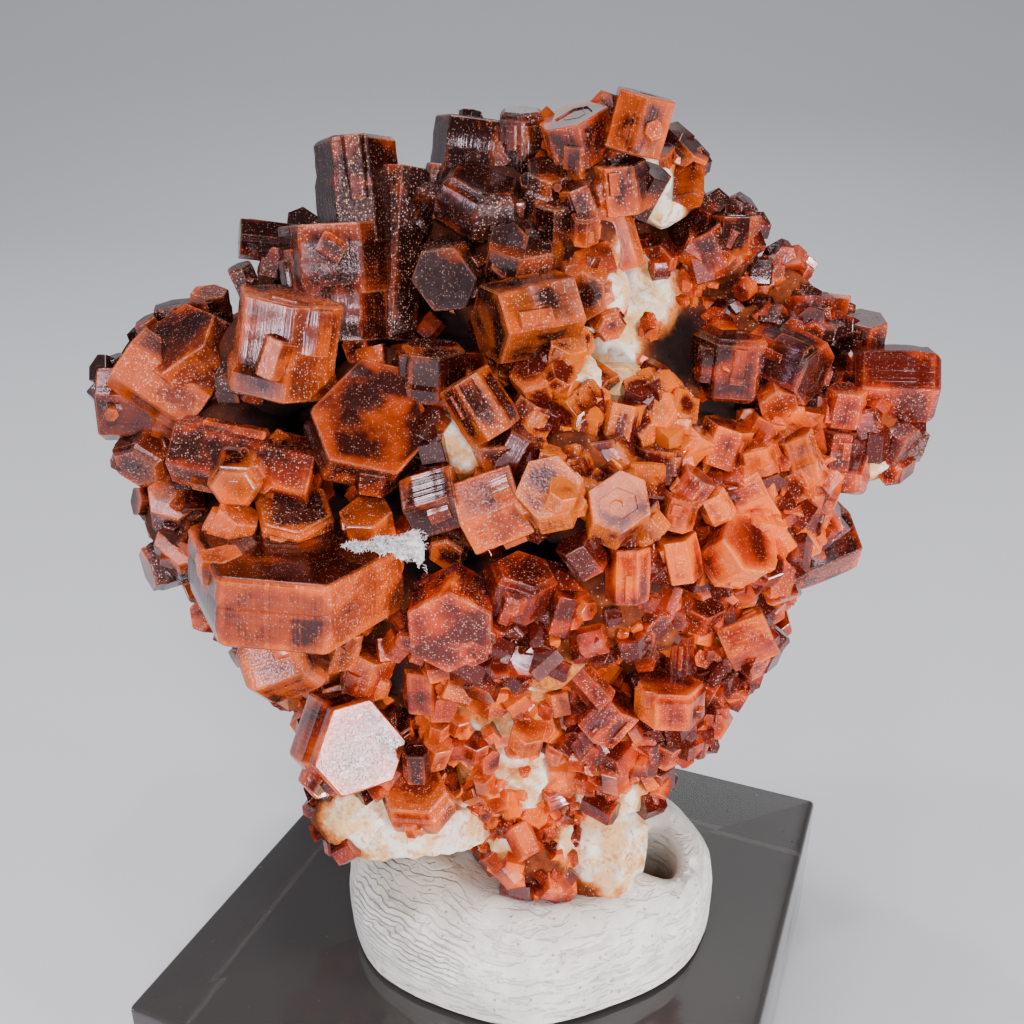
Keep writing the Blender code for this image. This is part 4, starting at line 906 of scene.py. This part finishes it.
# Lower centre: red prisms and slabs under the dark gap.
LOWER_CENTRE = ((6.2, -3.3, -8.0, 78, 0, 22, 1.25, 1.5), (3.8, -2.2, -8.0, 64, 322, 12, 1.2, 1.0),
                (7.0, -5.9, -7.0, 55, 352, 20, 1.25, 1.2), (5.0, -5.5, -7.0, 60, 0, 15, 1.15, 1.3),
                (3.2, -4.9, -7.5, 72, 355, 22, 0.75, 1.1), (0.4, -4.1, -8.0, 55, 15, 25, 1.9, 1.4),
                (-3.1, -5.7, -8.0, 28, 190, 10, 2.5, 1.6), (-0.6, -7.4, -7.5, 35, 20, 10, 1.2, 0.9),
                (2.3, -6.9, -7.0, 50, 330, 20, 0.7, 0.7), (1.5, -8.1, -7.0, 68, 332, 24, 0.95, 0.95))
LOWER_CENTRE_ROOTS = ((4.8, -4.2, -6.2, 3.4, 2.2), (-1.4, -5.4, -6.4, 3.4, 2.2),
                      (1.6, -6.6, -6.6, 3.0, 1.8), (6.8, -5.6, -6.0, 2.0, 1.8))
crystal_group("lower_centre", orange_stone, LOWER_CENTRE, LOWER_CENTRE_ROOTS, seed=115,
              hue=0.05, low=0.0, high=0.6, cover=0.8)


# Lower right: red and orange crystals along the rock's lower edge, down to its foot.
LOWER_RIGHT = ((4.0, -9.2, -7.0, 80, 318, 25, 0.85, 1.5), (5.2, -11.0, -7.0, 70, 40, 8, 1.3, 1.2),
               (8.4, -10.0, -7.0, 74, 1, 28, 2.0, 1.0), (9.0, -7.8, -5.5, 82, 2, 20, 0.75, 1.25),
               (12.6, -6.7, -4.5, 78, 66, 12, 1.5, 1.3), (8.3, -12.1, -6.0, 45, 10, 10, 1.5, 0.9),
               (10.5, -8.8, -4.5, 66, 334, 10, 1.1, 0.95), (10.1, -5.5, -4.5, 45, 10, 10, 1.2, 1.0),
               (11.2, -4.2, -4.0, 50, 10, 10, 1.1, 0.8), (4.1, -14.2, -5.5, 50, 0, 20, 0.85, 0.7),
               (7.1, -14.4, -4.5, 60, 330, 10, 1.05, 0.85), (5.6, -14.3, -5.0, 45, 20, 10, 0.75, 0.7),
               (2.6, -12.5, -6.0, 45, 10, 10, 0.9, 0.7))
LOWER_RIGHT_ROOTS = ((5.0, -11.6, -5.4, 2.8, 1.6), (1.2, -18.0, -4.7, 2.2, 1.5), (8.4, -10.8, -4.8, 2.6, 2.0),
                     (10.6, -6.6, -2.6, 3.0, 2.4), (5.6, -14.0, -4.4, 2.4, 1.4))
crystal_group("lower_right", orange_stone, LOWER_RIGHT, LOWER_RIGHT_ROOTS, seed=116,
              hue=0.1, low=0.0, high=0.6, cover=1.3)


# The druse: small crystals sprinkled over the crust of the front, sides and foot, thinner on the
# bare white rock. The six larger ones at the foot are listed.
FOOT = ((1.9, -10.5, -5.8, 50, 10, 20, 0.7, 0.7), (-2.0, -12.5, -5.6, 45, 10, 10, 0.85, 0.7),
        (-1.5, -14.3, -5.4, 45, 350, 10, 0.75, 0.6), (-3.9, -11.5, -5.6, 45, 10, 20, 0.7, 0.6),
        (-2.9, -11.3, -5.6, 50, 20, 10, 0.6, 0.6), (1.5, -17.2, -4.7, 45, 330, 10, 1.1, 0.8))


def sprinkle(heap, rng, count, turns, heights, sizes, spread, hue, low, high, sunk=0.0, lift=0.0, front=True):
    """Small crystals at random places of the rock's skin, between two turns round it and two
    shares of its height, pointing more or less outward and `lift` above it."""
    around = np.radians(rng.uniform(*turns, count))
    height = rng.uniform(*heights, count)
    spot, out = rock_surface(around, height), outward_of(around, height)
    wanted = (1 - 0.85 * bareness(spot)) * (1.05 - painted_shade(spot)) if front else np.ones(count)
    keep = rng.random(count) < wanted
    spot, out = spot[keep], out[keep]
    radius = sizes[0] * (sizes[1] / sizes[0]) ** (rng.random(len(spot)) ** 1.8)
    axis, side = turned_about(out, rng, spread)
    half = radius * rng.uniform(0.55, 1.05, len(spot))
    spot = spot + out * (rock_relief(spot) + lift - sunk * half)[:, None]
    across, up = in_view(spot)
    # painted light: the small crystals are lighter to the right and below in the view
    bright = 0.5 + 0.02 * across - 0.022 * up
    tone = np.clip(low + (high - low) * bright + 0.12 * rng.normal(size=len(spot)), 0, 1)
    coarse = radius > 0.8
    parts = (spot, axis, side, radius, half)
    for chosen, steps, levels, terraces in ((~coarse, TINY_STEPS, 2, False), (coarse, SMALL_STEPS, 5, True)):
        if chosen.any():
            grow(heap, [part[chosen] for part in parts], rng, hue, tone[chosen], steps, levels, 0.14,
                 terraces=terraces)


rng = np.random.default_rng(201)
heap = Heap()
grow(heap, stance(FOOT), rng, 0.3, np.full(len(FOOT), 0.5), LARGE_STEPS, 9)
sprinkle(heap, rng, 1500, (190, 350), (0.12, 0.97), (0.3, 1.0), spread=1.2, hue=0.4, low=0.2, high=0.9)
sprinkle(heap, rng, 700, (195, 345), (0.04, 0.22), (0.25, 0.7), spread=1.2, hue=0.4, low=0.4, high=0.9)
heap.shade_crevices()
dress(heap.piece("front_druse", [orange_stone], 20), "matrix_rock")


# The hidden back: the same crust, thicker, closed over the rock and set with dark red-brown
# crystals. Its larger crystals stand where the solid model has them.
BACK_CRYSTALS, BACK_CRUST, BACK_LIFT, BACK_SIZES = 26, 3.0, 2.3, (1.4, 2.8)
BACK_GRID = 90, 180


def back_surface(around, height):
    """The back crust: the rock's skin pushed out by up to BACK_CRUST on the far side, and sunk
    under the rock's own skin in front, above the foot."""
    skin = rock_surface(around, height)
    behind = np.clip((skin[..., 1] - 1.8) / 3.5, 0, 1) * np.clip((skin[..., 2] - 19.5) / 3.0, 0, 1)
    thick = -1.4 + (BACK_CRUST + 0.9) * behind ** 0.6 + 0.8 * rock_relief(skin) * behind
    return skin + outward_of(around, height) * thick[..., None]


turn, climb = closed_grid(*BACK_GRID)
heap = Heap()
heap.add(back_surface(turn, climb.clip(0.001, 0.999)), closed_faces(*BACK_GRID), (0.45, 0, 0), coat=1)
rng = np.random.default_rng(41)
stand = []
for k in range(BACK_CRYSTALS):
    height = 0.30 + 0.66 * (k + 0.5) / BACK_CRYSTALS
    around = math.radians(8.0 + (k * 61.8) % 164.0)
    here = rock_surface(around, height)
    out = unit(np.cross(rock_surface(around + 0.05, height) - here,
                        rock_surface(around, min(height + 0.02, 1.0)) - here))
    lean = out + 0.55 * rng.normal(size=3)
    across = np.cross(lean, rng.normal(size=3))
    size = rng.uniform(*BACK_SIZES)
    stand.append((here + out * BACK_LIFT, unit(lean), unit(across), size, size * rng.uniform(0.55, 1.1)))
stand = [np.array(part) for part in zip(*stand)]
tone = np.clip(0.5 + 0.15 * rng.normal(size=BACK_CRYSTALS), 0, 1)
grow(heap, stand, rng, 0.3, tone, SMALL_STEPS, 9)
offshoots(heap, stand, rng, 0.3, tone, 2)
sprinkle(heap, rng, 190, (2, 178), (0.28, 0.95), (0.8, 2.2), spread=0.8, hue=0.3, low=0.3, high=0.8,
         sunk=0.3, lift=2.0, front=False)
sprinkle(heap, rng, 1100, (-8, 188), (0.22, 0.97), (0.3, 0.9), spread=1.1, hue=0.35, low=0.3, high=0.8,
         lift=1.9, front=False)
dress(heap.piece("back_crystals", [red_stone, chalk], 20), "crystals_back")


# The tuft: loose white fibres and lint caught between the thick plate and its neighbours.
TUFT_PLACE, TUFT_WIDE, TUFT_TALL = (-6.8, -1.9, -10.2), 1.8, 1.15
centre = sight(*TUFT_PLACE)[0][0]


def tuft_edge(share):
    """Upper and lower limit of the tuft at `share` of its width: a point at the left, spreading
    to a ragged right end that droops."""
    upper = 0.05 + 0.75 * share ** 0.8 + 0.10 * np.sin(17 * share)
    lower = -0.06 - 0.95 * np.clip(share, 0, 1) ** 2.2 + 0.12 * np.sin(23 * share + 1.0)
    return upper, lower


fibre = Finish("white_fibre", Roughness=0.9, Subsurface_Weight=0.3, Subsurface_Scale=0.0004,
               Subsurface_Radius=(1.0, 1.0, 1.0))
place = fibre.node("TexCoord", {}, {}, "Object")
matted = fibre.noise(place, 5200.0, 4.0, 0.7, 1.0)
fibre.feed(fibre.shader, "Base Color",
           fibre.mix(matted.ramp(0.35, 0.65), (0.55, 0.50, 0.50, 1), (0.94, 0.92, 0.92, 1)))
fibre.relief(matted, 0.00005, 0.6)
heap = Heap()
rng = np.random.default_rng(301)
FILM_GRID = 90, 40
spin, share = closed_grid(*FILM_GRID)
upper, lower = tuft_edge(share)
pinch = np.minimum(np.minimum(share * 8, (1.04 - share) * 9), 1.0)
flat = np.stack([(share * 2 - 1) * TUFT_WIDE * 0.96, (upper + lower) / 2, 0.10 * np.sin(5 * share + 1)], -1)
flat[:, 1] += (upper - lower) / 2 * 0.9 * np.cos(spin) * pinch
fray = 0.16 * (lattice_noise(flat * 3.0, 0.4, 61) - 0.5) + 0.10 * (lattice_noise(flat * 3.0, 0.15, 62) - 0.5)
flat[:, :2] += fray[:, None] * (np.abs(np.cos(spin)) > 0.7)[:, None]
flat[:, 2] += 0.07 * np.sin(spin) * pinch + 2.0 * fray
film = centre + flat @ np.stack([RIGHT, OVER, AHEAD])
heap.add(film, closed_faces(*FILM_GRID))
STRANDS, STRAND_POINTS, STRAND_SIDES = 420, 9, 5
share = rng.random(STRANDS)
upper, lower = tuft_edge(share)
start = np.stack([(share * 2 - 1) * TUFT_WIDE, lower + (upper - lower) * rng.random(STRANDS)], -1)
heading = rng.uniform(-0.5, 0.9, STRANDS) - 0.9 * (start[:, 1] < -0.2)
length = rng.uniform(0.2, 0.55, STRANDS) * (0.9 - 0.4 * share ** 3)
s = np.linspace(-0.5, 0.5, STRAND_POINTS)[None]
bend = rng.normal(size=(STRANDS, 1)) * 1.2
angle = heading[:, None] + bend * s
run = np.stack([start[:, :1] + length[:, None] * s * np.cos(angle),
                start[:, 1:] + length[:, None] * s * np.sin(angle)], -1)
depth = 0.35 * rng.normal(size=(STRANDS, 1)) * share[:, None] + 0.15 * np.sin(9 * s + bend)
line = (centre + run[..., :1] * RIGHT + run[..., 1:] * OVER + depth[..., None] * AHEAD)
thick = (0.014 + 0.012 * rng.random((STRANDS, 1))) * (1 - (2 * np.abs(s)) ** 4 * 0.7)
roll = np.arange(STRAND_SIDES) * 2 * math.pi / STRAND_SIDES
ahead = unit(np.gradient(line, axis=1))
first = unit(np.cross(ahead, AHEAD))
second = np.cross(ahead, first)
tube = line[:, :, None] + thick[:, :, None, None] * (np.cos(roll)[:, None] * first[:, :, None]
                                                     + np.sin(roll)[:, None] * second[:, :, None])
tube = np.concatenate([tube.reshape(STRANDS, -1, 3), line[:, :1], line[:, -1:]], 1)
template = closed_faces(STRAND_POINTS, STRAND_SIDES)
begin = (np.arange(STRANDS) * tube.shape[1])[:, None, None]
heap.add(tube, [(each[None] + begin).reshape(-1, each.shape[1]) for each in template])
dress(heap.piece("fibre_tuft", [fibre], 60), "fluff_tuft")


# The plain studio: a pale floor, soft lights and the camera at the photograph's angle.
floor_finish = Finish("floor", Base_Color=(0.78, 0.79, 0.81, 1), Roughness=0.6)
FLOOR_HALF, FLOOR_NEAR, FLOOR_FAR, FLOOR_FLAT, FLOOR_RISE = 4.0, -2.0, 3.0, 0.30, 0.9     # metres
LONG, WIDE = 240, 9
run, over = np.meshgrid(np.linspace(FLOOR_NEAR, FLOOR_FAR, LONG),
                        np.linspace(-FLOOR_HALF, FLOOR_HALF, WIDE), indexing="ij")
climb = FLOOR_RISE * np.maximum(run - FLOOR_FLAT, 0.0) ** 2
sheet = np.stack([over, run, climb], -1).reshape(-1, 3)
i, j = np.meshgrid(np.arange(LONG - 1), np.arange(WIDE - 1), indexing="ij")
corner = i * WIDE + j
cells = np.stack([corner, corner + 1, corner + WIDE + 1, corner + WIDE], -1).reshape(-1, 4)
mesh = bpy.data.meshes.new("floor")
mesh.from_pydata(sheet, [], cells.tolist())
mesh.shade_smooth()
mesh.materials.append(floor_finish.material)
floor = bpy.data.objects.new("floor", mesh)
bpy.context.scene.collection.objects.link(floor)

world = bpy.data.worlds.new("studio")
bpy.context.scene.world = world
world.use_nodes = True
world.node_tree.nodes["Background"].inputs["Color"].default_value = (0.86, 0.88, 0.95, 1)
world.node_tree.nodes["Background"].inputs["Strength"].default_value = 0.10


def softbox(name, azimuth, elevation, distance, size, power, colour):
    """A square light at a compass angle from the front, aimed at the specimen's middle."""
    data = bpy.data.lights.new(name, "AREA")
    data.shape, data.size, data.energy, data.color = "SQUARE", size, power, colour
    lamp = bpy.data.objects.new(name, data)
    turn, lift = math.radians(azimuth), math.radians(elevation)
    aim = Vector((0.0, 0.0, 0.034))
    offset = Vector((math.sin(turn) * math.cos(lift), -math.cos(turn) * math.cos(lift), math.sin(lift)))
    lamp.location = aim + offset * distance
    lamp.rotation_euler = offset.to_track_quat("Z", "Y").to_euler()
    bpy.context.scene.collection.objects.link(lamp)


softbox("key", 47, -2.5, 0.30, 0.034, 0.9, (1.0, 0.98, 0.97))
softbox("front", -28, 8.4, 0.32, 0.035, 0.20, (0.95, 0.92, 1.0))
softbox("above_lens", 8, 38, 0.34, 0.08, 0.52, (1.0, 0.98, 0.97))
softbox("upper_left", -74, 55, 0.32, 0.04, 0.22, (0.95, 0.92, 1.0))
softbox("lilac", -73, 4, 0.32, 0.035, 0.10, (0.85, 0.78, 1.0))
softbox("rear", 170, 35, 0.40, 0.25, 0.25, (1.0, 1.0, 1.0))
SPOTS = ((24, 16, 0.014, 0.07), (-40, -2, 0.014, 0.10), (72, 34, 0.014, 0.07), (-8.4, 11.7, 0.014, 0.07),
         (-55, 24, 0.014, 0.07), (-10, 78, 0.014, 0.14), (-102, 74, 0.014, 0.14), (47, -2.5, 0.014, 0.16),
         (34, 69, 0.014, 0.08), (-28, 8.4, 0.014, 0.12))
for k, (azimuth, elevation, size, power) in enumerate(SPOTS):
    softbox("spot_%d" % k, azimuth, elevation, 0.32, size, power, (0.97, 0.94, 1.0))
data = bpy.data.lights.new("overhead", "SUN")
data.energy, data.angle, data.color = 0.85, math.radians(24), (0.93, 0.93, 1.0)
overhead = bpy.data.objects.new("overhead", data)
overhead.rotation_euler = (math.radians(8), math.radians(-6), 0.0)
bpy.context.scene.collection.objects.link(overhead)

lens = bpy.data.cameras.new("camera")
lens.lens, lens.sensor_width = 38.0, 36.0
lens.clip_start, lens.clip_end = 0.005, 20.0
camera = bpy.data.objects.new("camera", lens)
camera.location = Vector(EYE * MM)
camera.rotation_euler = (math.pi / 2 - EYE_DOWN, 0.0, 0.0)
bpy.context.scene.collection.objects.link(camera)
bpy.context.scene.camera = camera
